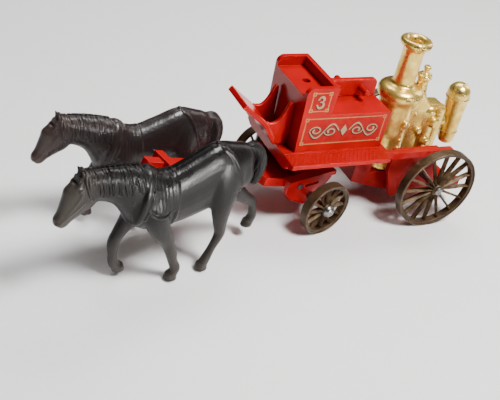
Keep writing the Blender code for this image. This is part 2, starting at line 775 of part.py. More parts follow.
def axle(name, track, height, head, parent):
    """A steel axle with a domed head outside each wheel."""
    reach = track / 2 + RUN
    bar = rod(name, AXLE_RADIUS, (0, -reach - GAP, 0), (0, reach + GAP, 0), 20)
    near = dome_head("near", head, (0, -reach, 0), (0, -1, 0))
    far = dome_head("far", head, (0, reach, 0), (0, 1, 0))
    bar = joined(bar, near, far)
    bar.location = (0, 0, height)
    finish(bar, STEEL, parent)


king = empty("kingpin_axis", (-WHEELBASE, 0, 0), root, (0, 0, STEER_AT_REST))
axle("rear_axle", REAR_TRACK, REAR_RADIUS, REAR_HEAD, root)
axle("front_axle", FRONT_TRACK, FRONT_RADIUS, FRONT_HEAD, king)
for side, label in ((-1, "near"), (1, "far")):
    rear_place = side * (REAR_TRACK - REAR_WIDTH) / 2
    wheel("rear_wheel_" + label, REAR_RADIUS, REAR_WIDTH, REAR_SPOKES, rear_place, root)
    front_place = side * (FRONT_TRACK - FRONT_WIDTH) / 2
    wheel("front_wheel_" + label, FRONT_RADIUS, FRONT_WIDTH, FRONT_SPOKES, front_place, king)


def fore_carriage():
    """Turntable plate, two cheeks and the bed that holds the front axle."""
    table_low = TABLE_TOP - TABLE_THICK
    table = box("fore_carriage", (-TABLE_FRONT, -TABLE_HALF, table_low), (TABLE_REAR, TABLE_HALF, TABLE_TOP))
    cheek_front = LAP - TABLE_FRONT
    cheek_rear = TABLE_REAR - LAP
    outline = [
        (cheek_front, table_low + LAP),
        (cheek_front, HINGE_Z - 1.6 * MM),
        (cheek_front + 1.8 * MM, HINGE_Z - 3.6 * MM),
        (-BED_HALF, CHEEK_LOW),
        (BED_HALF, CHEEK_LOW),
        (cheek_rear, table_low - TABLE_THICK),
        (cheek_rear, table_low + LAP),
    ]
    near_side = sheet("near_side", outline, -CHEEK_HALF, CHEEK_WALL - CHEEK_HALF)
    far_side = sheet("far_side", outline, CHEEK_HALF - CHEEK_WALL, CHEEK_HALF)
    bed_side = CHEEK_HALF - LAP
    bed = box("bed", (-BED_HALF, -bed_side, CHEEK_LOW + LAP), (BED_HALF, bed_side, table_low + LAP))
    carriage = joined(table, near_side, far_side, bed)
    out = TABLE_HALF + PAST
    axle_hole = rod("axle_hole", AXLE_RADIUS + RUN, (0, -out, FRONT_RADIUS), (0, out, FRONT_RADIUS), 20)
    pin_hole = rod("pin_hole", HINGE_PIN_RADIUS + RUN, (-HINGE_S, -out, HINGE_Z), (-HINGE_S, out, HINGE_Z), 20)
    king_hole = rod("king_hole", KINGPIN_RADIUS + RUN, (0, 0, KINGPIN_LOW), (0, 0, TABLE_TOP + PAST), 20)
    slot = box("slot", (-SLOT_HALF, -out, SLOT_LOW), (SLOT_HALF, CHEEK_WALL / 2 - CHEEK_HALF, SLOT_HIGH))
    room_side = SPLINTER_HALF + 2 * GAP
    room_rear = HINGE_PIN_RADIUS + GAP - HINGE_S
    pole_room = box("pole_room", (-TABLE_FRONT - PAST, -room_side, HINGE_Z), (room_rear, room_side, TABLE_TOP + PAST))
    finish(cut(carriage, axle_hole, pin_hole, king_hole, slot, pole_room), RED, king)


def kingpin():
    """The pin between the carriage's bed and the base's boss."""
    low = (-WHEELBASE, 0, KINGPIN_LOW + GAP)
    pin = rod("kingpin", KINGPIN_RADIUS, low, (-WHEELBASE, 0, base_top - GAP), 20)
    finish(pin, STEEL, root)


bar_top = POLE_THICK / 2 + BAR_RISE
bar_middle = (bar_top + BAR_LOW) / 2


def pole():
    """Pole with its wide rear end and the crossbar, built level and tilted at its hinge."""
    hinge = empty("pole_hinge", (-HINGE_S, 0, HINGE_Z), king, (0, POLE_RISE, 0))
    neck = -SPLINTER_LENGTH - SPLINTER_TAPER
    outline = [
        (POLE_HEEL, -SPLINTER_HALF),
        (POLE_HEEL, SPLINTER_HALF),
        (-SPLINTER_LENGTH, SPLINTER_HALF),
        (neck, POLE_HALF),
        (neck, -POLE_HALF),
        (-SPLINTER_LENGTH, -SPLINTER_HALF),
    ]
    splinter = sheet("pole", outline, -SPLINTER_THICK / 2, SPLINTER_THICK / 2, "XY")
    shaft_low = (-POLE_LENGTH, -POLE_HALF, -POLE_THICK / 2)
    shaft = box("shaft", shaft_low, (PAST - SPLINTER_LENGTH, POLE_HALF, POLE_THICK / 2))
    crossbar = box(
        "crossbar",
        (-BAR_AT - BAR_WIDTH / 2, -BAR_HALF, BAR_LOW),
        (-BAR_AT + BAR_WIDTH / 2, BAR_HALF, bar_top),
    )
    whole = joined(splinter, shaft, crossbar)
    out = SPLINTER_HALF + PAST
    hinge_bore = rod("hinge_bore", HINGE_PIN_RADIUS + RUN, (0, -out, 0), (0, out, 0), 20)
    bar_bore_start = (-BAR_AT, -BAR_HALF - PAST, bar_middle)
    bar_bore_end = (-BAR_AT, BAR_HALF + PAST, bar_middle)
    bar_bore = rod("bar_bore", HORSE_PIN_RADIUS + GAP / 2, bar_bore_start, bar_bore_end, 16)
    finish(cut(whole, hinge_bore, bar_bore), RED, hinge)
    pin_side = CHEEK_HALF + 2 * GAP
    pin = rod("pole_pin", HINGE_PIN_RADIUS, (0, -pin_side, 0), (0, pin_side, 0), 20)
    pin.location = (-HINGE_S, 0, HINGE_Z)
    finish(pin, STEEL, king)


fore_carriage()
kingpin()
pole()


def loft(name, rings, sides):
    """A closed skin over elliptical rings, each (centre, across, up, half across, half up)."""
    points, skin = [], []
    for centre, across, up, half_across, half_up in rings:
        for i in range(sides):
            a = math.tau * i / sides
            points.append(centre + across * half_across * math.cos(a) + up * half_up * math.sin(a))
    for r in range(len(rings) - 1):
        here, there = r * sides, (r + 1) * sides
        for i in range(sides):
            j = (i + 1) % sides
            skin.append((here + i, here + j, there + j, there + i))
    skin.append(tuple(reversed(range(sides))))
    skin.append(tuple(range((len(rings) - 1) * sides, len(rings) * sides)))
    mesh = bpy.data.meshes.new(name)
    mesh.from_pydata(points, [], skin)
    return add(mesh, name)


def limb(name, line, side=0.0, sides=12):
    """A loft along a leg, the head or the tail, its rings square to the run of the line."""
    across = Vector((0, 1, 0))
    centres = [Vector((-ahead * MM, side, height * MM)) for ahead, height, _, _ in line]
    rings = []
    for i, (_, _, half_run, half_side) in enumerate(line):
        run = centres[min(i + 1, len(line) - 1)] - centres[max(i - 1, 0)]
        rings.append((centres[i], across, run.normalized().cross(across), half_side * MM, half_run * MM))
    return loft(name, rings, sides)


def trunk():
    rings = [
        (
            Vector((-ahead * MM, 0, (top + low) / 2 * MM)),
            Vector((0, 1, 0)),
            Vector((0, 0, 1)),
            half * MM,
            (top - low) / 2 * MM,
        )
        for ahead, top, low, half in HORSE_TRUNK
    ]
    return loft("trunk", rings, 20)


def horse(name):
    """Body, head, legs, ears and tail, merged into one closed skin by a fine remesh."""
    pieces = [trunk(), limb("head", HORSE_HEAD, sides=16), limb("tail", HORSE_TAIL)]
    pieces.append(limb("standing_fore", STANDING_FORE, -LEG_SIDE))
    pieces.append(limb("raised_fore", RAISED_FORE, LEG_SIDE))
    pieces.append(limb("leading_hind", LEADING_HIND, -LEG_SIDE))
    pieces.append(limb("trailing_hind", TRAILING_HIND, LEG_SIDE))
    for side in (-1, 1):
        foot = (-EAR_FOOT[0], side * EAR_FOOT[1], EAR_FOOT[2])
        tip = (-EAR_TIP[0], side * EAR_TIP[1], EAR_TIP[2])
        pieces.append(rod("ear", EAR_RADIUS[0], foot, tip, 8, EAR_RADIUS[1]))
    whole = pieces[0]
    whole.name = name
    with bpy.context.temp_override(active_object=whole, selected_editable_objects=pieces):
        bpy.ops.object.join()
    remesh = whole.modifiers.new("remesh", "REMESH")
    remesh.mode = "VOXEL"
    remesh.voxel_size = VOXEL
    relax = whole.modifiers.new("relax", "SMOOTH")
    relax.factor = 0.5
    relax.iterations = 3
    thin = whole.modifiers.new("thin", "DECIMATE")
    thin.ratio = KEPT_FACES
    return baked(whole)


def lowest(mesh):
    return min(vertex.co.z for vertex in mesh.vertices)


def team():
    """Both horses at their places beside the pole, each on its own pin through the crossbar."""
    hinge = Matrix.Translation((-HINGE_S, 0, HINGE_Z)) @ Matrix.Rotation(POLE_RISE, 4, "Y")
    pin_centre = hinge @ Vector((-BAR_AT, 0, bar_middle))
    for side, label, place in ((-1, "near", NEAR_HORSE), (1, "far", FAR_HORSE)):
        animal = horse("horse_" + label)
        tilt = Matrix.Rotation(math.radians(place["tilt"]), 4, "Y")
        animal.data.transform(tilt @ Matrix.Scale(place["size"], 4))
        spot = Matrix.Translation((-place["ahead"], place["side"], -lowest(animal.data)))
        turn = Matrix.Rotation(math.radians(place["turn"]), 4, "Z")
        animal.data.transform(spot @ turn)
        reach = abs(place["side"]) - FLANK_HALF * place["size"] + HORSE_PIN_DEPTH
        inner = pin_centre + Vector((0, side * (BAR_HALF - PAST), 0))
        outer = pin_centre + Vector((0, side * (reach + 2 * GAP), 0))
        socket = rod("socket", HORSE_PIN_RADIUS + GAP, inner, outer, 16)
        animal = cut(animal, socket)
        finish(animal, BLACK, king, pin_centre + Vector((0, place["side"], 0)))
        start = pin_centre + Vector((0, side * GAP, 0))
        end = pin_centre + Vector((0, side * reach, 0))
        pin = rod("horse_pin_" + label, HORSE_PIN_RADIUS, start, end, 16)
        finish(pin, STEEL, king, pin_centre)


team()

# The frame: the middle of the whole footprint, on the ground
bpy.context.view_layer.update()
corners = [
    obj.matrix_world @ vertex.co
    for obj in parts.objects
    if obj.type == "MESH"
    for vertex in obj.data.vertices
]
lows = [min(c[i] for c in corners) for i in range(3)]
highs = [max(c[i] for c in corners) for i in range(3)]
root.location = (-(lows[0] + highs[0]) / 2, -(lows[1] + highs[1]) / 2, -lows[2])
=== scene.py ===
"""The looks of a pocket diecast fire engine drawn by two horses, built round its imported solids.
Metres, +Z up. The engine stands with its nose to -X, and its near side is -Y."""

import math

import bmesh
import bpy
import numpy as np
from mathutils import Matrix, Vector
from mathutils.bvhtree import BVHTree


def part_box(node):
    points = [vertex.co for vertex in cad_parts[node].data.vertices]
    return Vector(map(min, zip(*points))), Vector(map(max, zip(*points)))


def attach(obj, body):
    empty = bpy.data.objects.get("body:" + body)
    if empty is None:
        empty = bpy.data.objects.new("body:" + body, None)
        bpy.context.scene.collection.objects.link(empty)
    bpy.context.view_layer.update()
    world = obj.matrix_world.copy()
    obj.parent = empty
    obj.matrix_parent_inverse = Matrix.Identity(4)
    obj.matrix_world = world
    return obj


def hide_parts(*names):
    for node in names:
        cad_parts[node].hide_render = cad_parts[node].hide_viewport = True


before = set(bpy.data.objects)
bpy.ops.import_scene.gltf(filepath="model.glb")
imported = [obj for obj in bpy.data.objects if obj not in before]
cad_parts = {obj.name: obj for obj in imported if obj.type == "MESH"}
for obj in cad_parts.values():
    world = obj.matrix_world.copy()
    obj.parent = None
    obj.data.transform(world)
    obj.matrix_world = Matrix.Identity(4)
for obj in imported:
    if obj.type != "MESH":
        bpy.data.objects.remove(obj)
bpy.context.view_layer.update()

# The table: a sheet of pale card under the toy, in the light of three soft boxes, one of them
# long and overhead, and a small gridded lamp on the horses' flanks. The camera stands where the
# photograph was taken from, above the near horse's head.
MM = 0.001
CARD_REACH = 2.0
CARD_LOW = -0.02 * MM
CARD_GREY = (0.83, 0.82, 0.81, 1)
CARD_PALE = (0.86, 0.85, 0.84, 1)
CAMERA_PLACE = (-95.841 * MM, -152.386 * MM, 128.733 * MM)
CAMERA_TURN = (54.51, -10.903, -23.391)
CAMERA_LENS = 59.05
CAMERA_SENSOR = 36
CAMERA_NEAREST = 0.005
ROOM_LOW = 0.34
ROOM_HIGH = 0.62
ROOM_AHEAD = 0.45
WHITE = (1, 1, 1)
SQUARE = ((-1, -1), (1, -1), (1, 1), (-1, 1))
# Each lamp's place, aim, size, watts, colour and spread in degrees
LAMPS = {
    "key_lamp": ((0.11, -0.18, 0.42), (0, 0, 0.01), (0.12, 0.12), 4.1, WHITE, 180),
    "overhead_box": ((0.1, 0.2, 0.42), (0, 0, 0.01), (0.3, 0.14), 1.3, WHITE, 180),
    "near_lamp": ((0.16, -0.36, 0.05), (-0.045, -0.01, 0.03), (0.09, 0.05), 0.05, (1.0, 0.98, 0.96), 22),
    "rear_box": ((0.42, 0.1, 0.2), (0.03, 0, 0.02), (0.16, 0.26), 0.7, (1.0, 0.96, 0.9), 180),
}


def add_node(tree, kind, feeds=None, **settings):
    """A node with its settings, and each input given a value or the output that feeds it."""
    node = tree.nodes.new(kind)
    for key, value in settings.items():
        setattr(node, key, value)
    for socket, value in (feeds or {}).items():
        if isinstance(value, bpy.types.NodeSocket):
            tree.links.new(value, node.inputs[socket])
        else:
            node.inputs[socket].default_value = value
    return node


def feed(tree, node, **outputs):
    """Leads each output into the node's socket of that name."""
    for socket, output in outputs.items():
        tree.links.new(output, node.inputs[socket.replace("_", " ")])


def worked(tree, operation, first, second=0.0):
    """Two numbers put together by arithmetic."""
    return add_node(tree, "ShaderNodeMath", {0: first, 1: second}, operation=operation).outputs[0]


def ranged(tree, value, low, high, start=0.0, end=1.0):
    """A value's stretch from low to high, spread from start to end."""
    feeds = {"Value": value, "From Min": low, "From Max": high, "To Min": start, "To Max": end}
    return add_node(tree, "ShaderNodeMapRange", feeds).outputs["Result"]


def blended(tree, share, first, second):
    """A colour between two others, by a mask."""
    feeds = {"Factor": share, "A": first, "B": second}
    return add_node(tree, "ShaderNodeMix", feeds, data_type="RGBA").outputs["Result"]


def own_place(tree):
    return add_node(tree, "ShaderNodeTexCoord").outputs["Object"]


def noise(tree, place, scale, detail=2.0, roughness=0.5):
    """A cloudy number that changes over a place."""
    feeds = {"Vector": place, "Scale": scale, "Detail": detail, "Roughness": roughness}
    return add_node(tree, "ShaderNodeTexNoise", feeds).outputs["Fac"]


def new_finish(name, **values):
    """A material, its node tree and its shader, with these values on the shader's own sockets."""
    material = bpy.data.materials.new(name)
    material.use_nodes = True
    shader = material.node_tree.nodes["Principled BSDF"]
    for socket, value in values.items():
        shader.inputs[socket.replace("_", " ")].default_value = value
    return material, material.node_tree, shader


def placed(name, mesh):
    piece = bpy.data.objects.new(name, mesh)
    bpy.context.scene.collection.objects.link(piece)
    return piece


card_finish, card_tree, card_shader = new_finish("pale_card", Roughness=0.6)
card_grain = noise(card_tree, own_place(card_tree), 900.0)
feed(card_tree, card_shader, Base_Color=blended(card_tree, card_grain, CARD_GREY, CARD_PALE))
card_mesh = bpy.data.meshes.new("card")
card_mesh.from_pydata([(a * CARD_REACH, b * CARD_REACH, CARD_LOW) for a, b in SQUARE], [], [(0, 1, 2, 3)])
card_mesh.materials.append(card_finish)
placed("card", card_mesh)

world = bpy.data.worlds.new("pale_room")
world.use_nodes = True
sky_tree = world.node_tree
sky_way = add_node(sky_tree, "ShaderNodeTexCoord").outputs["Generated"]
sky_axes = add_node(sky_tree, "ShaderNodeSeparateXYZ", {"Vector": sky_way})
sky_lift = ranged(sky_tree, sky_axes.outputs["Z"], 0.0, 0.7, ROOM_LOW, ROOM_HIGH)
sky_side = ranged(sky_tree, sky_axes.outputs["X"], -0.7, 0.3, ROOM_AHEAD)
sky_light = worked(sky_tree, "MULTIPLY", sky_lift, sky_side)
feed(sky_tree, sky_tree.nodes["Background"], Strength=sky_light)
bpy.context.scene.world = world

for name, (place, aim, size, watts, colour, spread) in LAMPS.items():
    light = bpy.data.lights.new(name, "AREA")
    light.shape = "RECTANGLE"
    light.size, light.size_y = size
    light.energy = watts
    light.color = colour
    light.spread = math.radians(spread)
    lamp = placed(name, light)
    lamp.location = place
    lamp.rotation_euler = (Vector(aim) - Vector(place)).to_track_quat("-Z", "Y").to_euler()

eye = bpy.data.cameras.new("camera")
eye.sensor_width = CAMERA_SENSOR
eye.lens = CAMERA_LENS
eye.clip_start = CAMERA_NEAREST
camera = placed("camera", eye)
camera.location = CAMERA_PLACE
camera.rotation_euler = [math.radians(a) for a in CAMERA_TURN]
bpy.context.scene.camera = camera

# Red castings: the zinc body with its seat and locker, the back rest and the footboard, all
# dipped in one bright red enamel. The die leaves a small radius on each edge, and the thick
# enamel has a faint orange peel and lies a little thin on the edges that hands rub. Those
# edges are also painted paler, as a painted highlight.
CAST_EDGE = 0.22 * MM
CAST_SHARP = 25
TURNED_SHARP = 40
SAME_POINT = 0.002 * MM
FLAT_WITHIN = 2
REST_EDGE = 0.3 * MM
GRAIN_HEIGHT = 0.08 * MM
ENAMEL_DEEP = (0.30, 0.002, 0.003, 1)
ENAMEL_BRIGHT = (0.40, 0.003, 0.004, 1)
# Paler red of worn edges, which is also a painted highlight along the edges
ENAMEL_WORN_AND_HIGHLIT = (0.55, 0.045, 0.035, 1)
ENAMEL_GLEAM = (1.0, 0.3, 0.25, 1)
DECK_TOP = 21.94 * MM
BOARD_THICK = 0.95 * MM
WEB_THICK = 0.9 * MM
RECESS_INNER = 10.4 * MM
RECESS_OUTER = 16.0 * MM
RECESS_RUN = 29.3 * MM
PEG_RADIUS = 0.9 * MM
PEG_TIP = 0.45 * MM
PEG_HEIGHT = 2.65 * MM
NEAR_PEG = 12.46 * MM
FAR_PEG = 7.86 * MM


def effect_group(name, inputs, outputs):
    """A shader node group: its tree, the node of its inputs and the node of its outputs."""
    tree = bpy.data.node_groups.new(name, "ShaderNodeTree")
    for label, value in inputs.items():
        socket = tree.interface.new_socket(name=label, in_out="INPUT", socket_type="NodeSocketFloat")
        socket.default_value = value
    for label, kind in outputs.items():
        tree.interface.new_socket(name=label, in_out="OUTPUT", socket_type=kind)
    return tree, tree.nodes.new("NodeGroupInput"), tree.nodes.new("NodeGroupOutput")


def use_effect(tree, effect, **values):
    """The group placed in a material's tree with its own values."""
    node = tree.nodes.new("ShaderNodeGroup")
    node.node_tree = effect
    for label, value in values.items():
        node.inputs[label.replace("_", " ")].default_value = value
    return node


skin_effect, skin_in, skin_out = effect_group(
    "moulded_skin",
    {"Patch Scale": 120.0, "Grain Scale": 2200.0, "Grain Depth": 0.15},
    {"Tone": "NodeSocketFloat", "Normal": "NodeSocketVector"},
)
skin_place = own_place(skin_effect)
skin_patch = noise(skin_effect, skin_place, skin_in.outputs["Patch Scale"], 3.0)
skin_grain = noise(skin_effect, skin_place, skin_in.outputs["Grain Scale"])
skin_bump = add_node(
    skin_effect,
    "ShaderNodeBump",
    {"Strength": skin_in.outputs["Grain Depth"], "Distance": GRAIN_HEIGHT, "Height": skin_grain},
)
skin_tone = ranged(skin_effect, skin_patch, 0.3, 0.7)
feed(skin_effect, skin_out, Tone=skin_tone, Normal=skin_bump.outputs["Normal"])

# The mask of the edges: worn paint in patches, and with it a painted highlight along the edges of enamel
# and bronze
edge_wear_sheen_effect, edge_wear_sheen_in, edge_wear_sheen_out = effect_group(
    "rubbed_edges",
    {"Edge": 0.0, "Patch Scale": 400.0, "Amount": 0.6},
    {"Mask": "NodeSocketFloat"},
)
edge_wear_sheen_cloud = noise(edge_wear_sheen_effect, own_place(edge_wear_sheen_effect), edge_wear_sheen_in.outputs["Patch Scale"], 4.0)
edge_wear_sheen_patchy = worked(edge_wear_sheen_effect, "MULTIPLY", edge_wear_sheen_in.outputs["Edge"], ranged(edge_wear_sheen_effect, edge_wear_sheen_cloud, 0.4, 0.6))
edge_wear_sheen_mask = worked(edge_wear_sheen_effect, "MULTIPLY", edge_wear_sheen_patchy, edge_wear_sheen_in.outputs["Amount"])
feed(edge_wear_sheen_effect, edge_wear_sheen_out, Mask=edge_wear_sheen_mask)


def moulded(tree, patches, grain, depth):
    """The tone and the relief of a moulded skin, in a material's tree."""
    node = use_effect(tree, skin_effect, Patch_Scale=patches, Grain_Scale=grain, Grain_Depth=depth)
    return node.outputs["Tone"], node.outputs["Normal"]


def enamel(name, deep, bright, rough, coat):
    """Glossy enamel: two tones in large soft patches, paler on the edges, where the paint is worn and where
    a highlight is painted.
    """
    gloss = {"Specular_Tint": ENAMEL_GLEAM, "Specular_IOR_Level": 0.28, "Coat_Roughness": 0.08}
    finish, tree, shader = new_finish(name, Coat_Weight=coat, **gloss)
    tone, relief = moulded(tree, patches=90.0, grain=1400.0, depth=0.12)
    wear_and_sheen = use_effect(tree, edge_wear_sheen_effect, Amount=0.8)
    edge = add_node(tree, "ShaderNodeAttribute", attribute_name="edge")
    feed(tree, wear_and_sheen, Edge=edge.outputs["Fac"])
    # The edges are painted paler: partly worn paint, partly a painted highlight
    colour = blended(tree, wear_and_sheen.outputs["Mask"], blended(tree, tone, deep, bright), ENAMEL_WORN_AND_HIGHLIT)
    dull = ranged(tree, tone, 0, 1, rough, rough + 0.1)
    feed(tree, shader, Base_Color=colour, Roughness=dull, Normal=relief)
    return finish


red_enamel = enamel("red_enamel", ENAMEL_DEEP, ENAMEL_BRIGHT, 0.17, 0.03)


def as_mesh(skin, name):
    """A bmesh written to a mesh, and freed."""
    mesh = bpy.data.meshes.new(name)
    skin.to_mesh(mesh)
    skin.free()
    return mesh


def made_plain(piece):
    """The piece with its modifiers worked out into a plain mesh and taken off."""
    bpy.context.view_layer.update()
    graph = bpy.context.evaluated_depsgraph_get()
    mesh = bpy.data.meshes.new_from_object(piece.evaluated_get(graph))
    piece.modifiers.clear()
    piece.data = mesh
    return piece


def smooth_skin(piece, finish, angle):
    piece.data.materials.clear()
    piece.data.materials.append(finish)
    piece.data.shade_smooth()
    piece.data.set_sharp_from_angle(angle=math.radians(angle))


def fitted(piece, body, slot_name, *nodes):
    """The piece rides on its body and stands for its solids; the slot it is given is not used."""
    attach(piece, body)
    if nodes:
        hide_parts(*nodes)


def rough_cast(name, skin, finish):
    """A smooth piece from a bmesh, with its finish in two slots, the second for the radius."""
    mesh = as_mesh(skin, name)
    mesh.materials.append(finish)
    mesh.materials.append(finish)
    mesh.shade_smooth()
    return placed(name, mesh)


def with_radius(piece, edge, angle):
    """The piece with a small radius on every edge sharper than an angle. The faces of the radius,
    where hands rub and where the enamel's painted highlight goes, are noted in an attribute of the mesh."""
    rounded = piece.modifiers.new("radius", "BEVEL")
    rounded.width = edge
    rounded.segments = 3
    rounded.material = 1
    rounded.angle_limit = math.radians(angle)
    level = piece.modifiers.new("level", "WEIGHTED_NORMAL")
    level.keep_sharp = False
    mesh = made_plain(piece).data
    mark = mesh.attributes.new("edge", "FLOAT", "FACE")
    mark.data.foreach_set("value", [float(face.material_index == 1) for face in mesh.polygons])
    mesh.polygons.foreach_set("material_index", [0] * len(mesh.polygons))
    return piece


def cast_piece(name, node, finish, edge, body, slot_name, thin=None):
    """A casting on a solid's own outline, with the die's small radius on every edge, and with
    another mesh taken out of it first where the real metal is thinner."""
    skin = bmesh.new()
    skin.from_mesh(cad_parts[node].data)
    bmesh.ops.remove_doubles(skin, verts=skin.verts, dist=SAME_POINT)
    flat = math.radians(FLAT_WITHIN)
    bmesh.ops.dissolve_limit(skin, angle_limit=flat, verts=skin.verts, edges=skin.edges)
    piece = rough_cast(name, skin, finish)
    if thin:
        cutter = placed("recess", thin)
        hollow = piece.modifiers.new("recess", "BOOLEAN")
        hollow.object = cutter
        hollow.solver = "EXACT"
        made_plain(piece)
        bpy.data.objects.remove(cutter)
    with_radius(piece, edge, CAST_SHARP)
    fitted(piece, body, slot_name, node)


def bands(skin, loops):
    """The faces between loops of corners, each loop with the next."""
    made = []
    for here, there in zip(loops, loops[1:]):
        for a, b, c, d in zip(here, here[1:] + here[:1], there[1:] + there[:1], there):
            made.append(skin.faces.new((a, b, c, d)))
    return made


def loft(skin, rings):
    """A closed skin over rings of points."""
    loops = [[skin.verts.new(point) for point in ring_points] for ring_points in rings]
    ends = [skin.faces.new(loops[0][::-1]), skin.faces.new(loops[-1])]
    bmesh.ops.recalc_face_normals(skin, faces=ends + bands(skin, loops))


def eased(points, radii, steps=5):
    """The corners of an open (radius, height) line rounded, each by its own radius."""
    line = [Vector(points[0])]
    for before, here, after, radius in zip(points, points[1:], points[2:], radii):
        here = Vector(here)
        to_before, to_after = Vector(before) - here, Vector(after) - here
        back = min(radius, 0.48 * to_before.length, 0.48 * to_after.length)
        start, end = here + to_before.normalized() * back, here + to_after.normalized() * back
        for i in range(steps + 1):
            t = i / steps
            line.append(start * (1 - t) ** 2 + here * 2 * t * (1 - t) + end * t * t)
    line.append(Vector(points[-1]))
    return line


def turned(skin, profile, place, sides):
    """Adds a closed turned form to a bmesh: its profile starts and ends on the axis."""
    rings = []
    for i in range(sides):
        a = math.tau * i / sides
        ways = [Vector((r * math.cos(a), r * math.sin(a), h)) for r, h in profile[1:-1]]
        rings.append([skin.verts.new(place @ way) for way in ways])
    start = skin.verts.new(place @ Vector((0, 0, profile[0][1])))
    end = skin.verts.new(place @ Vector((0, 0, profile[-1][1])))
    made = []
    for here, there in zip(rings, rings[1:] + rings[:1]):
        made.append(skin.faces.new((start, here[0], there[0])))
        made.append(skin.faces.new((end, there[-1], here[-1])))
        for a, b, c, d in zip(here, here[1:], there[1:], there):
            made.append(skin.faces.new((a, b, c, d)))
    bmesh.ops.recalc_face_normals(skin, faces=made)


def toward(place, direction):
    """A frame at a place whose Z points in a direction."""
    turn = Vector(direction).to_track_quat("Z", "Y").to_matrix().to_4x4()
    return Matrix.Translation(place) @ turn


def as_piece(name, skin, finish, body, slot_name, *nodes):
    piece = placed(name, as_mesh(skin, name))
    smooth_skin(piece, finish, TURNED_SHARP)
    fitted(piece, body, slot_name, *nodes)


deck_low, deck_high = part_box("body_casting")
engine_middle = (deck_low.y + deck_high.y) / 2
recess = bmesh.new()
for side in (-1, 1):
    low, under = deck_low.z - MM, DECK_TOP - BOARD_THICK
    bottom = [(RECESS_INNER, low), (RECESS_OUTER, low)]
    sloped = bottom + [(RECESS_OUTER, under + 0.3 * MM), (RECESS_INNER, deck_low.z)]
    level = bottom + [(RECESS_OUTER, under), (RECESS_INNER, under)]
    web = deck_low.x + WEB_THICK
    last = deck_low.x + RECESS_RUN + MM
    stations = ((deck_low.x - MM, sloped), (web, sloped), (web + 0.2 * MM, level), (last, level))
    loft(recess, [[(x, engine_middle + side * y, z) for y, z in outline] for x, outline in stations])
recess_mesh = as_mesh(recess, "recess")
cast_piece("body_shell", "body_casting", red_enamel, CAST_EDGE, "engine", "red_enamel", recess_mesh)
cast_piece("back_rest", "locker_back_rest", red_enamel, REST_EDGE, "engine", "red_enamel")

rest_low, rest_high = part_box("locker_back_rest")
peg_skin = bmesh.new()
for away, side in ((NEAR_PEG, -1), (FAR_PEG, 1)):
    reach = (rest_high.y - rest_low.y) / 2 - 0.05 * MM
    peg_line = [(0, reach), (PEG_RADIUS, reach), (PEG_RADIUS - 0.05 * MM, 0.2 * MM), (0, 0.2 * MM)]
    peg_place = toward((rest_low.x + away, engine_middle, rest_low.z + PEG_HEIGHT), (0, side, 0))
    turned(peg_skin, eased(peg_line, [PEG_TIP, 0.05 * MM]), peg_place, 32)
as_piece("pegs", peg_skin, red_enamel, "engine", "red_enamel")

# Running boards: the deck beside the box is cast with rows of small studs against slipping,
# inside a raised rim along the outer edge. Both are the body's own metal under its enamel.
BOARD_LENGTH = 28.4 * MM
BOX_SIDE = 9.2 * MM
RIM_WIDTH = 0.65 * MM
RIM_RISE = 0.16 * MM
RIM_EDGE = 0.09 * MM
TREAD_SHARP = 50
LEDGE_WIDTH = 0.7 * MM
STUD_RADIUS = 0.3 * MM
STUD_PITCH = 1.22 * MM
STUD_ROWS = 5
FIRST_STUD = 1.1 * MM
board_outer = deck_high.y - engine_middle


def block(skin, low, high):
    """A closed box in a bmesh, from its two corners."""
    made = bmesh.ops.create_cube(skin, size=1)
    middle = (Vector(low) + Vector(high)) / 2
    size = Vector(high) - Vector(low)
    place = Matrix.Translation(middle) @ Matrix.Diagonal((*size, 1))
    bmesh.ops.transform(skin, matrix=place, verts=made["verts"])


def bevelled(skin, width, segments):
    """Every edge of a bmesh rounded."""
    bmesh.ops.bevel(skin, geom=skin.edges[:], offset=width, segments=segments, affect="EDGES", profile=0.5)


def wired(name, **inputs):
    """A geometry node tree with the named inputs of each kind, and its two end nodes."""
    tree = bpy.data.node_groups.new(name, "GeometryNodeTree")
    for kind, labels in {"Geometry": ("Geometry",), **inputs}.items():
        for label in labels:
            tree.interface.new_socket(name=label, in_out="INPUT", socket_type="NodeSocket" + kind)
    tree.interface.new_socket(name="Geometry", in_out="OUTPUT", socket_type="NodeSocketGeometry")
    return tree, tree.nodes.new("NodeGroupInput"), tree.nodes.new("NodeGroupOutput")


def grown(name, mesh, tree, **values):
    """A mesh that a geometry node tree has worked on, made plain."""
    piece = placed(name, mesh)
    step = piece.modifiers.new(name, "NODES")
    step.node_group = tree
    for socket in tree.interface.items_tree:
        label = socket.name.replace(" ", "_")
        if socket.in_out == "INPUT" and label in values:
            step[socket.identifier] = values[label]
    return made_plain(piece)


def moved(tree, geometry, **ways):
    """A geometry shifted, turned or stretched."""
    return add_node(tree, "GeometryNodeTransform", {"Geometry": geometry, **ways}).outputs[0]


def scattered(tree, points, instance, **ways):
    """The same form set on every point."""
    feeds = {"Points": points, "Instance": instance, **ways}
    return add_node(tree, "GeometryNodeInstanceOnPoints", feeds).outputs[0]


def outlet(tree, start, end, added, finish):
    """Closes a tree: what it adds joins what came in, and all is made real in one material."""
    both = add_node(tree, "GeometryNodeJoinGeometry")
    tree.links.new(added, both.inputs[0])
    tree.links.new(start.outputs["Geometry"], both.inputs[0])
    real = add_node(tree, "GeometryNodeRealizeInstances", {"Geometry": both.outputs[0]})
    clad = add_node(tree, "GeometryNodeSetMaterial", {"Geometry": real.outputs[0], "Material": finish})
    tree.links.new(clad.outputs[0], end.inputs[0])


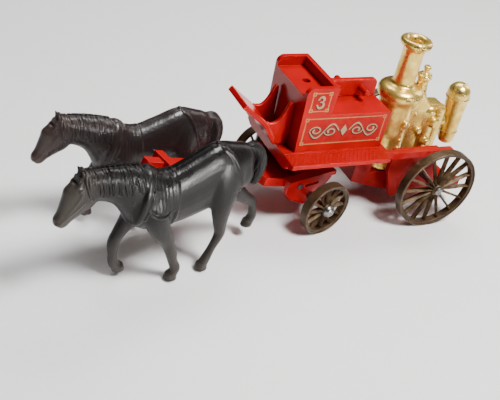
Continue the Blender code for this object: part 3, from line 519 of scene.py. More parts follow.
stud_tree, stud_in, stud_end = wired(
    "tread_studs",
    Float=("Length", "Width", "Stud Radius", "Stagger"),
    Int=("Columns", "Rows"),
    Vector=("Middle",),
)
stud_grid = add_node(
    stud_tree,
    "GeometryNodeMeshGrid",
    {
        "Size X": stud_in.outputs["Length"],
        "Size Y": stud_in.outputs["Width"],
        "Vertices X": stud_in.outputs["Columns"],
        "Vertices Y": stud_in.outputs["Rows"],
    },
)
stud_sphere = {"Segments": 8, "Rings": 6, "Radius": stud_in.outputs["Stud Radius"]}
stud_ball = add_node(stud_tree, "GeometryNodeMeshUVSphere", stud_sphere)
stud_low = moved(stud_tree, stud_ball.outputs[0], Scale=(1, 1, 0.6))
stud_index = add_node(stud_tree, "GeometryNodeInputIndex").outputs[0]
stud_row = worked(stud_tree, "MODULO", stud_index, stud_in.outputs["Rows"])
stud_odd = worked(stud_tree, "MODULO", stud_row, 2.0)
stud_step = worked(stud_tree, "MULTIPLY", stud_odd, stud_in.outputs["Stagger"])
stud_shift = add_node(stud_tree, "ShaderNodeCombineXYZ", {"X": stud_step})
stud_diamond = add_node(
    stud_tree,
    "GeometryNodeSetPosition",
    {"Geometry": stud_grid.outputs[0], "Offset": stud_shift.outputs[0]},
)
stud_set = scattered(stud_tree, stud_diamond.outputs[0], stud_low)
stud_place = moved(stud_tree, stud_set, Translation=stud_in.outputs["Middle"])
outlet(stud_tree, stud_in, stud_end, stud_place, red_enamel)

board_front = deck_low.x + 0.05 * MM
stud_columns = int((BOARD_LENGTH - 3 * RIM_WIDTH) / STUD_PITCH)
stud_length = (stud_columns - 1) * STUD_PITCH
for side, label in ((-1, "near"), (1, "far")):
    outer = engine_middle + side * (board_outer - 0.03 * MM)
    wall = engine_middle + side * (BOX_SIDE - 0.1 * MM)
    rim_inside = outer - side * RIM_WIDTH
    ledge_edge = wall + side * LEDGE_WIDTH
    top = DECK_TOP + RIM_RISE
    low = DECK_TOP - RIM_RISE
    rim = bmesh.new()
    for one, other, high in ((outer, rim_inside, top), (wall, ledge_edge, top + 0.05 * MM)):
        block(rim, (board_front, min(one, other), low), (board_front + BOARD_LENGTH, max(one, other), high))
    ends = sorted((rim_inside + side * 0.1 * MM, ledge_edge - side * 0.1 * MM))
    block(rim, (board_front + 0.02 * MM, ends[0], low), (board_front + 0.5 * MM, ends[1], top - 0.02 * MM))
    bevelled(rim, RIM_EDGE, 2)
    tread = grown(
        "tread_" + label,
        as_mesh(rim, "rim"),
        stud_tree,
        Length=stud_length,
        Width=abs(rim_inside - ledge_edge) - STUD_RADIUS * 2.6,
        Columns=stud_columns,
        Rows=STUD_ROWS,
        Stud_Radius=STUD_RADIUS,
        Stagger=STUD_PITCH / 2,
        Middle=(board_front + FIRST_STUD + stud_length / 2, (rim_inside + ledge_edge) / 2, DECK_TOP),
    )
    smooth_skin(tread, red_enamel, TREAD_SHARP)
    fitted(tread, "engine", "red_enamel")

# Footboard: a bent plate ahead of the seat that the driver's feet rest on, with a swept cheek
# on each side, cast together in the same red metal. The cheeks' tops are thick and rounded.
FOOT_EDGE = 0.3 * MM
FOOT_SHARP = 30
PLATE_HALF = 5.0 * MM
CHEEK_THICK = 1.05 * MM
# In millimetres: the plate's thickness at its foot and its growth, then (x, z) points of its
# inner face and of the cheek
PLATE_FOOT = 1.0
PLATE_GROWS = 0.5
FOOT_BEND = [(0.15, 22.08), (-1.55, 25.0), (-2.9, 27.4), (-4.1, 28.95), (-5.8, 30.3), (-10.45, 34.1)]
CHEEK_FOOT = [(0.1, 22.2), (3.12, 22.2)]
CHEEK_CREST = [
    (2.6, 33.4), (2.25, 34.05), (1.6, 33.95), (1.05, 32.8), (0.4, 31.1), (-0.35, 29.6),
    (-1.3, 28.65), (-2.5, 28.35), (-3.6, 28.75),
]
CHEEK_HEEL = [(-3.7, 28.3), (-2.7, 26.9)]


def eased_rows(rows, steps=4):
    """Rows of numbers with smooth steps between them, by a Catmull-Rom curve."""
    table = np.array(rows, float)
    table = np.vstack([2 * table[0] - table[1], table, 2 * table[-1] - table[-2]])
    out = []
    for i in range(1, len(table) - 2):
        a, b, c, d = table[i - 1 : i + 3]
        for step in range(steps):
            t = step / steps
            square = 2 * a - 5 * b + 4 * c - d
            cube = 3 * b - a - 3 * c + d
            out.append(tuple(0.5 * (2 * b + (c - a) * t + square * t * t + cube * t**3)))
    out.append(tuple(table[-2]))
    return out


def along(path, i):
    """The way that a flat path runs at one of its points."""
    before, after = path[max(i - 1, 0)], path[min(i + 1, len(path) - 1)]
    return Vector((after[0] - before[0], after[1] - before[1])).normalized()


def plate_between(skin, outline, low_y, high_y):
    """A closed plate in a bmesh, from an (x, z) outline in millimetres and its two faces."""
    near, far = ([skin.verts.new((x * MM, y, z * MM)) for x, z in outline] for y in (low_y, high_y))
    made = [skin.faces.new(near), skin.faces.new(far[::-1])]
    for corners in zip(near, far, far[1:] + far[:1], near[1:] + near[:1]):
        made.append(skin.faces.new(corners))
    bmesh.ops.recalc_face_normals(skin, faces=made)


foot_skin = bmesh.new()
foot_inner = eased_rows(FOOT_BEND, 3)
foot_outer = []
for i, (x, z) in enumerate(foot_inner):
    run = along(foot_inner, i)
    thick = PLATE_FOOT + PLATE_GROWS * i / (len(foot_inner) - 1)
    foot_outer.append((x - run.y * thick, z + run.x * thick))
foot_outer[0] = (foot_outer[0][0], FOOT_BEND[0][1])
foot_outline = foot_inner + foot_outer[::-1]
plate_between(foot_skin, foot_outline, engine_middle - PLATE_HALF, engine_middle + PLATE_HALF)
cheek = CHEEK_FOOT + eased_rows(CHEEK_CREST) + CHEEK_HEEL
for side in (-1, 1):
    outside = engine_middle + side * (PLATE_HALF - 0.02 * MM)
    plate_between(foot_skin, cheek, *sorted((outside, engine_middle + side * (PLATE_HALF - CHEEK_THICK))))
foot_plate = with_radius(rough_cast("foot_plate", foot_skin, red_enamel), FOOT_EDGE, FOOT_SHARP)
fitted(foot_plate, "engine", "red_enamel", "footboard")

# Painted panels: water-slide transfers on both sides of the box, a small one with the
# engine's number and a long one with a scroll, each on its own film with a cream-gold
# line round it, a square with a dot in every corner, and a dark shade under the cream.
FILM_THICK = 0.03 * MM
FILM_TOP = 1.0 * FILM_THICK
LINE_TOP = 1.5 * FILM_THICK
DOT_TOP = 2.0 * FILM_THICK
LETTER_TOP = 2.5 * FILM_THICK
STROKE_STEP = 0.0012 * MM
LINE_HALF = 0.13 * MM
LINE_INSET = 0.3 * MM
CORNER_SQUARE = 1.0 * MM
CORNER_DOT = 0.2 * MM
SHADE_SHIFT = 0.1 * MM
SHADE_WIDE = 0.17 * MM
NUMBER_PANEL = (4.45 * MM, 33.7 * MM, 10.05 * MM, 39.35 * MM)
SCROLL_PANEL = (4.25 * MM, 24.1 * MM, 28.25 * MM, 32.05 * MM)
LOZENGE = [(0, 1.7 * MM), (-0.95 * MM, 0), (0, -1.7 * MM), (0.95 * MM, 0)]
FILM_RED = (0.38, 0.006, 0.006, 1)
SHADE_DARK = (0.03, 0.012, 0.012, 1)
LINE_CREAM = (0.44, 0.22, 0.075, 1)
LETTER_CREAM = (0.42, 0.28, 0.16, 1)


def transfer(name, colour, rough):
    """Transfer ink: matt, a little uneven, as printed on thin film."""
    finish, tree, shader = new_finish(name, Specular_Tint=ENAMEL_GLEAM, Specular_IOR_Level=0.15)
    tone, _ = moulded(tree, patches=700.0, grain=3500.0, depth=0.05)
    thin = tuple(c * 0.72 for c in colour[:3]) + (1,)
    dull = ranged(tree, tone, 0, 1, rough, rough + 0.12)
    feed(tree, shader, Base_Color=blended(tree, tone, thin, colour), Roughness=dull)
    return finish


INKS = {
    "film": transfer("transfer_film", FILM_RED, 0.3),
    "shade": transfer("transfer_shade", SHADE_DARK, 0.45),
    "cream": transfer("transfer_cream", LINE_CREAM, 0.42),
    "letter": transfer("transfer_letter", LETTER_CREAM, 0.42),
}


def slab(skin, outline, depth_from, depth_to, place):
    """A flat outline of (u, z) points as a thin closed plate; place(u, depth, z) puts it on the box."""
    loft(skin, [[place(u, depth, z) for u, z in outline] for depth in (depth_from, depth_to)])


def stroke(skin, path, widths, depth_to, place):
    """A brush stroke along (u, z) points, as one thin plate with the given half widths."""
    rings = []
    for i, (u, z) in enumerate(path):
        across = along(path, i) * widths[i]
        left, right = (u - across.y, z + across.x), (u + across.y, z - across.x)
        corners = ((left, 0), (right, 0), (right, depth_to), (left, depth_to))
        rings.append([place(a, depth, b) for (a, b), depth in corners])
    loft(skin, rings)


def rectangle(middle_u, middle_z, half_u, half_z):
    return [(middle_u + a * half_u, middle_z + b * half_z) for a, b in SQUARE]


def arc_points(centre, radius, first, last, steps=14):
    """(u, z) points round part of a circle, with angles in degrees."""
    angles = [math.radians(first + (last - first) * i / steps) for i in range(steps + 1)]
    return [(centre[0] + radius * math.cos(a), centre[1] + radius * math.sin(a)) for a in angles]


def number_strokes():
    """A generic figure three: two bowls that meet in the middle, with a small foot at each end."""
    upper = arc_points((0, 0.8), 0.74, 165, -70)
    lower = arc_points((0, -0.72), 0.86, 70, -165)
    bowl = [0.15 + 0.2 * math.sin(math.pi * i / 14) for i in range(15)]
    waist = [(-0.28, 0.06), (0.4, 0.06)]
    feet = [[(-0.92, 0.62), (-0.5, 1.3)], [(-1.04, -0.62), (-0.55, -1.28)]]
    return [(upper, bowl), (lower, bowl), (waist, [0.18, 0.18])] + [(foot, [0.2, 0.2]) for foot in feet]


def scroll_strokes():
    """A running scroll on each side of the middle: a waved stem with a curl in every wave."""
    strokes = []
    for hand in (-1, 1):
        shares = [i / 36 for i in range(37)]
        wave = [math.sin(math.tau * t) for t in shares]
        stem = [(hand * (1.5 + 8.6 * t), 1.95 * w) for t, w in zip(shares, wave)]
        strokes.append((stem, [0.13 + 0.1 * abs(w) for w in wave]))
        for middle_u, up in ((4.0, 1), (8.3, -1)):
            curl = []
            for i in range(31):
                a = -up * math.radians(410 * i / 30)
                r = 1.8 * (1 - 0.68 * i / 30)
                curl.append((hand * (middle_u + r * math.cos(a)), 0.72 * r * math.sin(a) - up * 0.15))
            strokes.append((curl, [0.13 + 0.13 * i / 30 for i in range(31)]))
    return strokes


def frame_lines(skins, half_u, half_z, place):
    """The film, the line round it and a square with a dot in every corner."""
    slab(skins["film"], rectangle(0, 0, half_u, half_z), -FILM_THICK, FILM_TOP, place)
    gap = CORNER_SQUARE - 0.02 * MM
    half = CORNER_SQUARE / 2
    for sign in (-1, 1):
        level = rectangle(0, sign * (half_z - LINE_INSET), half_u - gap, LINE_HALF)
        upright = rectangle(sign * (half_u - LINE_INSET), 0, LINE_HALF, half_z - gap)
        slab(skins["cream"], level, 0, LINE_TOP, place)
        slab(skins["cream"], upright, 0, LINE_TOP, place)
        for other in (-1, 1):
            corner = (sign * (half_u - half), other * (half_z - half))
            slab(skins["cream"], rectangle(*corner, half, half), 0, LINE_TOP + 0.2 * FILM_THICK, place)
            slab(skins["film"], arc_points(corner, CORNER_DOT, 0, 350, 11), 0, DOT_TOP, place)


def painted_panels(side, label):
    """Film, shade and cream of both panels on one side of the box; each is its own piece."""
    face = engine_middle + side * BOX_SIDE
    skins = {name: bmesh.new() for name in INKS}
    designs = ((NUMBER_PANEL, number_strokes(), []), (SCROLL_PANEL, scroll_strokes(), [LOZENGE]))
    for (low_x, low_z, high_x, high_z), strokes, shapes in designs:
        middle = ((low_x + high_x) / 2, (low_z + high_z) / 2)

        def place(u, depth, z):
            return (middle[0] - side * u, face + side * depth, middle[1] + z)

        frame_lines(skins, (high_x - low_x) / 2, (high_z - low_z) / 2, place)
        for i, (path, widths) in enumerate(strokes):
            layer = STROKE_STEP * i
            inked = [(u * MM, z * MM) for u, z in path]
            shaded = [(u - SHADE_SHIFT, z - SHADE_SHIFT) for u, z in inked]
            stroke(skins["shade"], shaded, [w * MM + SHADE_WIDE for w in widths], LINE_TOP + layer, place)
            stroke(skins["letter"], inked, [w * MM for w in widths], LETTER_TOP + layer, place)
        for shape in shapes:
            shadow = [(u * 1.22 - SHADE_SHIFT, z * 1.18 - SHADE_SHIFT) for u, z in shape]
            slab(skins["shade"], shadow, 0, LINE_TOP + 0.02 * FILM_THICK, place)
            slab(skins["letter"], shape, 0, LETTER_TOP - 0.02 * FILM_THICK, place)
    for name, skin in skins.items():
        mesh = as_mesh(skin, "panel_" + name + "_" + label)
        mesh.materials.append(INKS[name])
        fitted(placed(mesh.name, mesh), "engine", "red_enamel")


painted_panels(-1, "near")
painted_panels(1, "far")

# Boiler: a gold-plated plastic moulding, turned in form, with a wide shoulder, a chimney with
# a rolled lip, a gauge and two rivets. Its bright plating has worn to dark specks on the
# shoulder and round the lip, where the toy is held.
SHOULDER_RADIUS = 6.35 * MM
BARREL_RADIUS = 5.0 * MM
RIVET_RADIUS = 0.62 * MM
BOSS_ROOT = -0.6 * MM
WEAR_PATCHES = 230.0
GOLD_BRIGHT = (0.98, 0.74, 0.20, 1)
GOLD_DEEP = (0.66, 0.40, 0.07, 1)
GOLD_WORN = (0.09, 0.06, 0.02, 1)
# (radius, height) points in millimetres from the chimney's mouth down, and the ease of each corner
BOILER_LINE = [
    (0, 42.0), (1.9, 42.0), (1.9, 46.8), (2.1, 48.1), (2.6, 48.75), (3.3, 49.0), (4.0, 48.8),
    (4.4, 48.1), (4.3, 47.4), (3.6, 46.7), (3.12, 46.2), (2.92, 45.2), (2.92, 36.5), (3.4, 35.8),
    (5.1, 35.4), (6.15, 34.5), (6.35, 33.3), (6.05, 32.2), (5.3, 31.5), (5.0, 30.6), (5.0, 12.5),
    (5.45, 12.1), (5.45, 11.2), (5.0, 10.7), (0, 10.7),
]
BOILER_EASE = [0.1, 0.4, 0.5, 0.4, 0.4, 0.4, 0.5, 0.5, 0.5, 0.5, 0.4, 0.6, 0.7, 0.6, 0.8, 0.8, 0.8, 0.8]
BOILER_EASE += [0.6, 0.6, 0.3, 0.3, 0.3, 0.3]
VALVE_SEAT_LINE = [(0, 3.6), (1.6, 3.6), (1.75, 1.6), (2.4, 0.0), (0, 0.0)]
boiler_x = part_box("boiler")[0].x + SHOULDER_RADIUS

wear_effect, wear_in, wear_out = effect_group(
    "worn_plating",
    {"Height": 0.034, "Spread": 0.002, "Speck Scale": 1500.0, "Amount": 0.5},
    {"Mask": "NodeSocketFloat"},
)
wear_place = own_place(wear_effect)
wear_axes = add_node(wear_effect, "ShaderNodeSeparateXYZ", {"Vector": wear_place})
wear_off = worked(wear_effect, "SUBTRACT", wear_axes.outputs["Z"], wear_in.outputs["Height"])
wear_far = worked(wear_effect, "ABSOLUTE", wear_off)
wear_band = ranged(wear_effect, wear_far, 0.0, wear_in.outputs["Spread"], 1.0, 0.0)
wear_speck = noise(wear_effect, wear_place, wear_in.outputs["Speck Scale"], 5.0, 0.65)
wear_patch = noise(wear_effect, wear_place, WEAR_PATCHES)
wear_sum = worked(wear_effect, "ADD", wear_speck, ranged(wear_effect, wear_patch, 0.35, 0.65, 0.0, 0.26))
wear_here = worked(wear_effect, "MULTIPLY", wear_band, wear_in.outputs["Amount"])
wear_total = worked(wear_effect, "ADD", wear_sum, ranged(wear_effect, wear_here, 0.0, 1.0, -0.22, 0.22))
feed(wear_effect, wear_out, Mask=ranged(wear_effect, wear_total, 0.74, 0.8))


def plating(name, height, spread, second_height, second_spread):
    """Gold plating on plastic, with wear in two level bands."""
    finish, tree, shader = new_finish(name, IOR=1.45)
    tone, relief = moulded(tree, patches=420.0, grain=1300.0, depth=0.55)
    first = use_effect(tree, wear_effect, Height=height, Spread=spread, Amount=0.7)
    second = use_effect(tree, wear_effect, Height=second_height, Spread=second_spread, Amount=0.6)
    worn = worked(tree, "MAXIMUM", first.outputs["Mask"], second.outputs["Mask"])
    colour = blended(tree, worn, blended(tree, tone, GOLD_DEEP, GOLD_BRIGHT), GOLD_WORN)
    shine = ranged(tree, tone, 0, 1, 0.36, 0.22)
    rough = worked(tree, "ADD", shine, worked(tree, "MULTIPLY", worn, 0.35))
    metal = ranged(tree, worn, 0, 1, 0.82, 0.3)
    feed(tree, shader, Base_Color=colour, Roughness=rough, Metallic=metal, Normal=relief)
    return finish


# Each plated piece's two worn bands: their heights and spreads
boiler_gold = plating("gold_plate_boiler", 34.0 * MM, 2.2 * MM, 48.2 * MM, 1.6 * MM)
pump_gold = plating("gold_plate_pump", 30.4 * MM, 1.6 * MM, 35.6 * MM, 1.0 * MM)
vessel_gold = plating("gold_plate_vessel", 33.6 * MM, 1.9 * MM, 20.5 * MM, 0.9 * MM)


def boss(skin, place, direction, radius, reach, dome=0.25, sides=32):
    """A round boss that stands out by its reach, with an eased rim and a shallow crown."""
    crown = [(0, reach), (0.62 * radius, reach), (radius, reach - dome * radius)]
    profile = eased(crown + [(radius, BOSS_ROOT), (0, BOSS_ROOT)], [0.2 * MM, 0.3 * MM, 0.05 * MM])
    turned(skin, profile, toward(place, direction), sides)


def upright_at(x, y, z=0.0):
    """A frame that stands a line of millimetres upright at a place."""
    return Matrix.Translation((x, y, z)) @ Matrix.Scale(MM, 4)


boiler_skin = bmesh.new()
turned(boiler_skin, eased(BOILER_LINE, BOILER_EASE), upright_at(boiler_x, engine_middle), 96)
near_skin = engine_middle - BARREL_RADIUS
gauge_place = (boiler_x + 0.95 * MM, near_skin + 0.6 * MM, 25.8 * MM)
boss(boiler_skin, gauge_place, (0.12, -1, -0.05), 1.2 * MM, 1.7 * MM)
for rivet_x, rivet_z in ((1.0, 20.5), (1.15, 18.0)):
    rivet_place = (boiler_x + rivet_x * MM, near_skin + 0.2 * MM, rivet_z * MM)
    boss(boiler_skin, rivet_place, (0.15, -1, 0), RIVET_RADIUS, RIVET_RADIUS, 0.6, 20)
valve_low, valve_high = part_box("safety_valve")
valve_x = (valve_low.x + valve_high.x) / 2
seat_place = upright_at(valve_x, engine_middle, 32.0 * MM)
turned(boiler_skin, eased(VALVE_SEAT_LINE, [0.15, 0.8, 0.3]), seat_place, 40)
as_piece("boiler_shell", boiler_skin, boiler_gold, "engine", "gold_plate", "boiler")

# Safety valve: a small plated turning on its seat behind the chimney, with a disc below and a
# knob on a stem above.
VALVE_LINE = [
    (0, 5.2), (0.75, 5.2), (1.05, 4.85), (1.05, 4.4), (0.75, 4.0), (0.75, 3.2), (1.35, 3.05),
    (1.45, 2.7), (2.0, 2.6), (2.1, 2.2), (2.1, 1.7), (1.75, 1.3), (1.5, 0.8), (1.6, 0.0), (0, 0.0),
]
VALVE_EASE = [0.2, 0.2, 0.2, 0.3, 0.2, 0.1, 0.15, 0.2, 0.2, 0.3, 0.4, 0.4, 0.05]
valve_skin = bmesh.new()
turned(valve_skin, eased(VALVE_LINE, VALVE_EASE), upright_at(valve_x, engine_middle, valve_low.z), 40)
as_piece("valve_turning", valve_skin, pump_gold, "engine", "gold_plate", "safety_valve")

# Pump: an upright barrel with its valve chest behind it, moulded with a casing whose top slopes
# up to the valve. Two outlets and small fittings stand on the near side, and an arm carries the
# air vessel. It is plated like the boiler.
PUMP_RADIUS = 3.4 * MM
CASE_HALF = 2.3 * MM
CASE_EDGE = 0.55 * MM
BARREL_AWAY = 11.45 * MM
ARM_RADIUS = 1.7 * MM
ARM_HEIGHT = 23.4 * MM
STACK_PITCH = 1.2
CASE_LINE = [
    (39.4, 15.2), (52.7, 15.2), (53.0, 28.8), (52.4, 29.7), (50.6, 29.8), (48.2, 29.9),
    (46.4, 31.4), (44.4, 33.8), (42.6, 34.6), (39.4, 34.6),
]
BARREL_LINE = [(0, 29.6), (1.4, 29.6), (2.7, 28.9), (3.3, 27.8), (3.4, 26.2), (3.4, 15.2), (0, 15.2)]
CHEST_LINE = [(0, 29.4), (1.3, 29.4), (2.0, 28.8), (2.1, 26.0), (2.1, 15.2), (0, 15.2)]
near_case = engine_middle - CASE_HALF
near_barrel = engine_middle - PUMP_RADIUS
# Each fitting's place, then its radius, reach and dome
FITTINGS = (
    ((49.5, near_barrel + 0.4 * MM, 25.0), 1.7, 1.9, 0.3),
    ((48.85, near_barrel + 0.3 * MM, 18.9), 1.4, 1.1, 0.25),
    ((48.85, near_barrel - 0.5 * MM, 18.9), 1.0, 1.1, 0.3),
    ((46.1, near_case + 0.1 * MM, 21.8), 1.15, 1.1, 0.3),
    ((43.7, near_case + 0.1 * MM, 27.1), 0.55, 0.5, 0.6),
    ((52.9, near_case - 0.2 * MM, 20.6), 0.7, 0.6, 0.6),
)
pump_x = boiler_x + BARREL_AWAY
pump_skin = bmesh.new()
case_skin = bmesh.new()
plate_between(case_skin, CASE_LINE, near_case, engine_middle + CASE_HALF)
bevelled(case_skin, CASE_EDGE, 4)
pump_skin.from_mesh(as_mesh(case_skin, "case"))
barrel_place = upright_at(pump_x, engine_middle)
turned(pump_skin, eased(BARREL_LINE, [0.5, 0.6, 0.6, 0.5, 0.3]), barrel_place, 64)
chest_place = upright_at(pump_x + 2.6 * MM, engine_middle - 1.35 * MM)
turned(pump_skin, eased(CHEST_LINE, [0.4, 0.5, 0.5, 0.3]), chest_place, 48)
stack_line = [(0, 3.9)]
for step in range(3):
    down = STACK_PITCH * step
    stack_line += [(0.85, 3.9 - down), (0.95, 3.3 - down), (0.65, 2.95 - down)]
stack_line += [(0.9, 0.0), (0, 0.0)]
stack_place = upright_at(50.7 * MM, engine_middle - 3.2 * MM, 25.4 * MM)
turned(pump_skin, eased(stack_line, [0.12] * (len(stack_line) - 2), 3), stack_place, 28)
arm_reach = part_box("pump")[1].x - pump_x
arm_line = [(0, arm_reach), (ARM_RADIUS, arm_reach), (ARM_RADIUS, 0), (0, 0)]
arm_place = toward((pump_x, engine_middle, ARM_HEIGHT), (1, 0, 0))
turned(pump_skin, eased(arm_line, [0.2 * MM] * 2), arm_place, 40)
for (x, y, z), radius, out, dome in FITTINGS:
    boss(pump_skin, (x * MM, y, z * MM), (0.06, -1, 0), radius * MM, out * MM, dome)
bmesh.ops.recalc_face_normals(pump_skin, faces=pump_skin.faces)
as_piece("pump_moulding", pump_skin, pump_gold, "engine", "gold_plate", "pump")

# Air vessel: the domed bottle behind the pump that evens the jet, plated like the boiler, with
# a half-round band near each end, leaning a little as it was moulded.
VESSEL_LEAN = math.radians(-5.0)
VESSEL_PLACE = (59.731 * MM, engine_middle, 15.6 * MM)
VESSEL_TOP = 19.7
DOME_RADIUS = 3.25
VESSEL_BANDS = [
    (3.25, 15.75), (3.45, 15.55), (3.45, 15.25), (3.18, 15.05), (2.56, 4.75), (2.76, 4.55),
    (2.76, 4.3), (2.5, 4.1), (2.44, 1.9), (2.05, 0.75), (1.25, 0.3), (0, 0.3),
]
vessel_line = [(0, VESSEL_TOP)]
for a in range(8, 90, 9):
    out, down = math.sin(math.radians(a)), 1 - math.cos(math.radians(a))
    vessel_line.append((DOME_RADIUS * out, VESSEL_TOP - DOME_RADIUS * down))
vessel_line += VESSEL_BANDS
vessel_skin = bmesh.new()
vessel_place = Matrix.Translation(VESSEL_PLACE) @ Matrix.Rotation(VESSEL_LEAN, 4, "Y") @ Matrix.Scale(MM, 4)
turned(vessel_skin, eased(vessel_line, [0.12] * (len(vessel_line) - 2), 3), vessel_place, 64)
as_piece("vessel_turning", vessel_skin, vessel_gold, "engine", "gold_plate", "air_vessel")

# Underframe: the base casting with its ash pan and axle brackets, the fore carriage that
# steers under it, and the pole, all in the same red. The base casting's copy is a little
# flatter, and painted darker as the shade beneath the body.
UNDER_EDGE = 0.2 * MM
# The same red painted darker, for the shade under the body
UNDER_SHADED_DEEP = (0.22, 0.003, 0.004, 1)
UNDER_SHADED_BRIGHT = (0.30, 0.005, 0.006, 1)
shaded_under_red = enamel("underframe_red", UNDER_SHADED_DEEP, UNDER_SHADED_BRIGHT, 0.24, 0.06)
cast_piece("underframe", "base_casting", shaded_under_red, UNDER_EDGE, "engine", "underframe_red")
cast_piece("steering_frame", "fore_carriage", red_enamel, UNDER_EDGE, "fore_unit", "red_enamel")
cast_piece("draught_pole", "pole", red_enamel, UNDER_EDGE, "pole_unit", "red_enamel")

# Steel: the two axles with their formed ends, and the pins and rivets that hold the castings.
# The rear axle is spread flat with a dimple, and the front one has a high dome.
PIN_EDGE = 0.12 * MM
AXLE_RADIUS = 0.8 * MM
REAR_TRACK = 36.3 * MM
FRONT_TRACK = 33.1 * MM
STEEL_DARK = (0.15, 0.143, 0.138, 1)
STEEL_PALE = (0.29, 0.28, 0.27, 1)
PINS = {
    "base_rivet": "engine",
    "kingpin": "engine",
    "pole_pin": "fore_unit",
    "horse_pin_near": "pole_unit",
    "horse_pin_far": "pole_unit",
}
FRAME_AXIS = {"engine": Vector((0, 1, 0)), "fore_unit": Vector((-0.237177, 0.971466, 0))}
DIMPLED = [(0, 0.22), (0.35, 0.24), (0.5, 0.43), (0.8, 0.45), (1.08, 0.3), (1.15, 0.12), (1.12, 0), (0, 0)]
DOMED = [(0, 1.3), (0.5, 1.26), (0.98, 1.1), (1.35, 0.82), (1.62, 0.42), (1.75, 0.12), (1.72, 0), (0, 0)]
steel_finish, steel_tree, steel_shader = new_finish("bright_steel", Metallic=1.0)
steel_tone, steel_relief = moulded(steel_tree, patches=900.0, grain=5000.0, depth=0.2)
steel_colour = blended(steel_tree, steel_tone, STEEL_DARK, STEEL_PALE)
steel_rough = ranged(steel_tree, steel_tone, 0, 1, 0.42, 0.27)
feed(steel_tree, steel_shader, Base_Color=steel_colour, Roughness=steel_rough, Normal=steel_relief)
for node, body in PINS.items():
    cast_piece(node + "_turned", node, steel_finish, PIN_EDGE, body, "bright_steel")


def axle_piece(name, node, track, end_line, body):
    """A plain bar with the same formed end outside each wheel."""
    low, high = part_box(node)
    middle = (low + high) / 2
    run = FRAME_AXIS[body]
    half = track / 2 + 0.2 * MM
    reach = half + 0.1 * MM
    skin = bmesh.new()
    bar = [(0, reach), (AXLE_RADIUS, reach), (AXLE_RADIUS, -reach), (0, -reach)]
    turned(skin, bar, toward(middle, run), 32)
    line = [(r * MM, h * MM) for r, h in end_line]
    for side in (-1, 1):
        turned(skin, line, toward(middle + side * half * run, side * run), 48)
    as_piece(name, skin, steel_finish, body, "bright_steel", node)


axle_piece("rear_axle_bar", "rear_axle", REAR_TRACK, eased(DIMPLED, [0.15] * 6, 3), "engine")
axle_piece("front_axle_bar", "front_axle", FRONT_TRACK, eased(DOMED, [0.2] * 6, 3), "fore_unit")

# Wheels: one-piece mouldings in olive-brown plastic, bronzed over, with a beaded rim, a
# turned hub with a raised ring, and tapered spokes, sixteen behind and twelve in front.
WHEEL_SHARP = 35
RIM_DEPTH = 1.15 * MM
HUB_BORE = 0.95 * MM
HUB_RING = 1.42 * MM
HUB_SIDE = 1.75 * MM
BRONZE_DEEP = (0.030, 0.0165, 0.0075, 1)
BRONZE_BRIGHT = (0.070, 0.040, 0.019, 1)
# Paler olive painted on the sharp edges as a highlight
BRONZE_EDGE_HIGHLIGHT = (0.24, 0.16, 0.085, 1)
# What each pair of wheels turns on, and their radius, width and count of spokes
WHEELS = {"rear": ("engine", 12.0 * MM, 2.7 * MM, 16), "front": ("fore_unit", 7.51 * MM, 2.6 * MM, 12)}
bronze_finish, bronze_tree, bronze_shader = new_finish("bronze_plastic", Specular_IOR_Level=0.25)
bronze_tone, bronze_relief = moulded(bronze_tree, patches=350.0, grain=2600.0, depth=0.2)
# The sharpest edges are painted paler in patches, as a painted highlight
bronze_edge_highlight = use_effect(bronze_tree, edge_wear_sheen_effect, Patch_Scale=500.0, Amount=0.6)
bronze_point = add_node(bronze_tree, "ShaderNodeNewGeometry").outputs["Pointiness"]
feed(bronze_tree, bronze_edge_highlight, Edge=ranged(bronze_tree, bronze_point, 0.53, 0.66))
bronze_base = blended(bronze_tree, bronze_tone, BRONZE_DEEP, BRONZE_BRIGHT)
feed(
    bronze_tree,
    bronze_shader,
    Base_Color=blended(bronze_tree, bronze_edge_highlight.outputs["Mask"], bronze_base, BRONZE_EDGE_HIGHLIGHT),
    Roughness=ranged(bronze_tree, bronze_tone, 0, 1, 0.5, 0.36),
    Metallic=ranged(bronze_tree, bronze_tone, 0, 1, 0.25, 0.45),
    Normal=bronze_relief,
)

spoke_tree, spoke_in, spoke_end = wired(
    "wheel_spokes",
    Float=("Hub Radius", "Rim Radius", "Hub End", "Rim End", "Depth Share"),
    Int=("Spokes",),
)
spoke_reach = worked(spoke_tree, "SUBTRACT", spoke_in.outputs["Rim Radius"], spoke_in.outputs["Hub Radius"])
spoke_cone = add_node(
    spoke_tree,
    "GeometryNodeMeshCone",
    {
        "Vertices": 4,
        "Side Segments": 2,
        "Radius Top": spoke_in.outputs["Rim End"],
        "Radius Bottom": spoke_in.outputs["Hub End"],
        "Depth": spoke_reach,
    },
)
spoke_shape = {"X": spoke_in.outputs["Depth Share"], "Y": 1.0, "Z": 1.0}
spoke_stretch = add_node(spoke_tree, "ShaderNodeCombineXYZ", spoke_shape)
spoke_oval = moved(spoke_tree, spoke_cone.outputs["Mesh"], Scale=spoke_stretch.outputs[0])
spoke_out = add_node(spoke_tree, "ShaderNodeCombineXYZ", {"X": spoke_in.outputs["Hub Radius"]}).outputs[0]
spoke_laid = moved(spoke_tree, spoke_oval, Rotation=(0, math.radians(90), 0), Translation=spoke_out)
spoke_points = add_node(spoke_tree, "GeometryNodePoints", {"Count": spoke_in.outputs["Spokes"]})
spoke_index = add_node(spoke_tree, "GeometryNodeInputIndex").outputs[0]
spoke_share = worked(spoke_tree, "DIVIDE", math.tau, spoke_in.outputs["Spokes"])
spoke_angle = worked(spoke_tree, "MULTIPLY", spoke_index, spoke_share)
spoke_turn = add_node(spoke_tree, "ShaderNodeCombineXYZ", {"Z": spoke_angle}).outputs[0]
spoke_set = scattered(spoke_tree, spoke_points.outputs[0], spoke_laid, Rotation=spoke_turn)
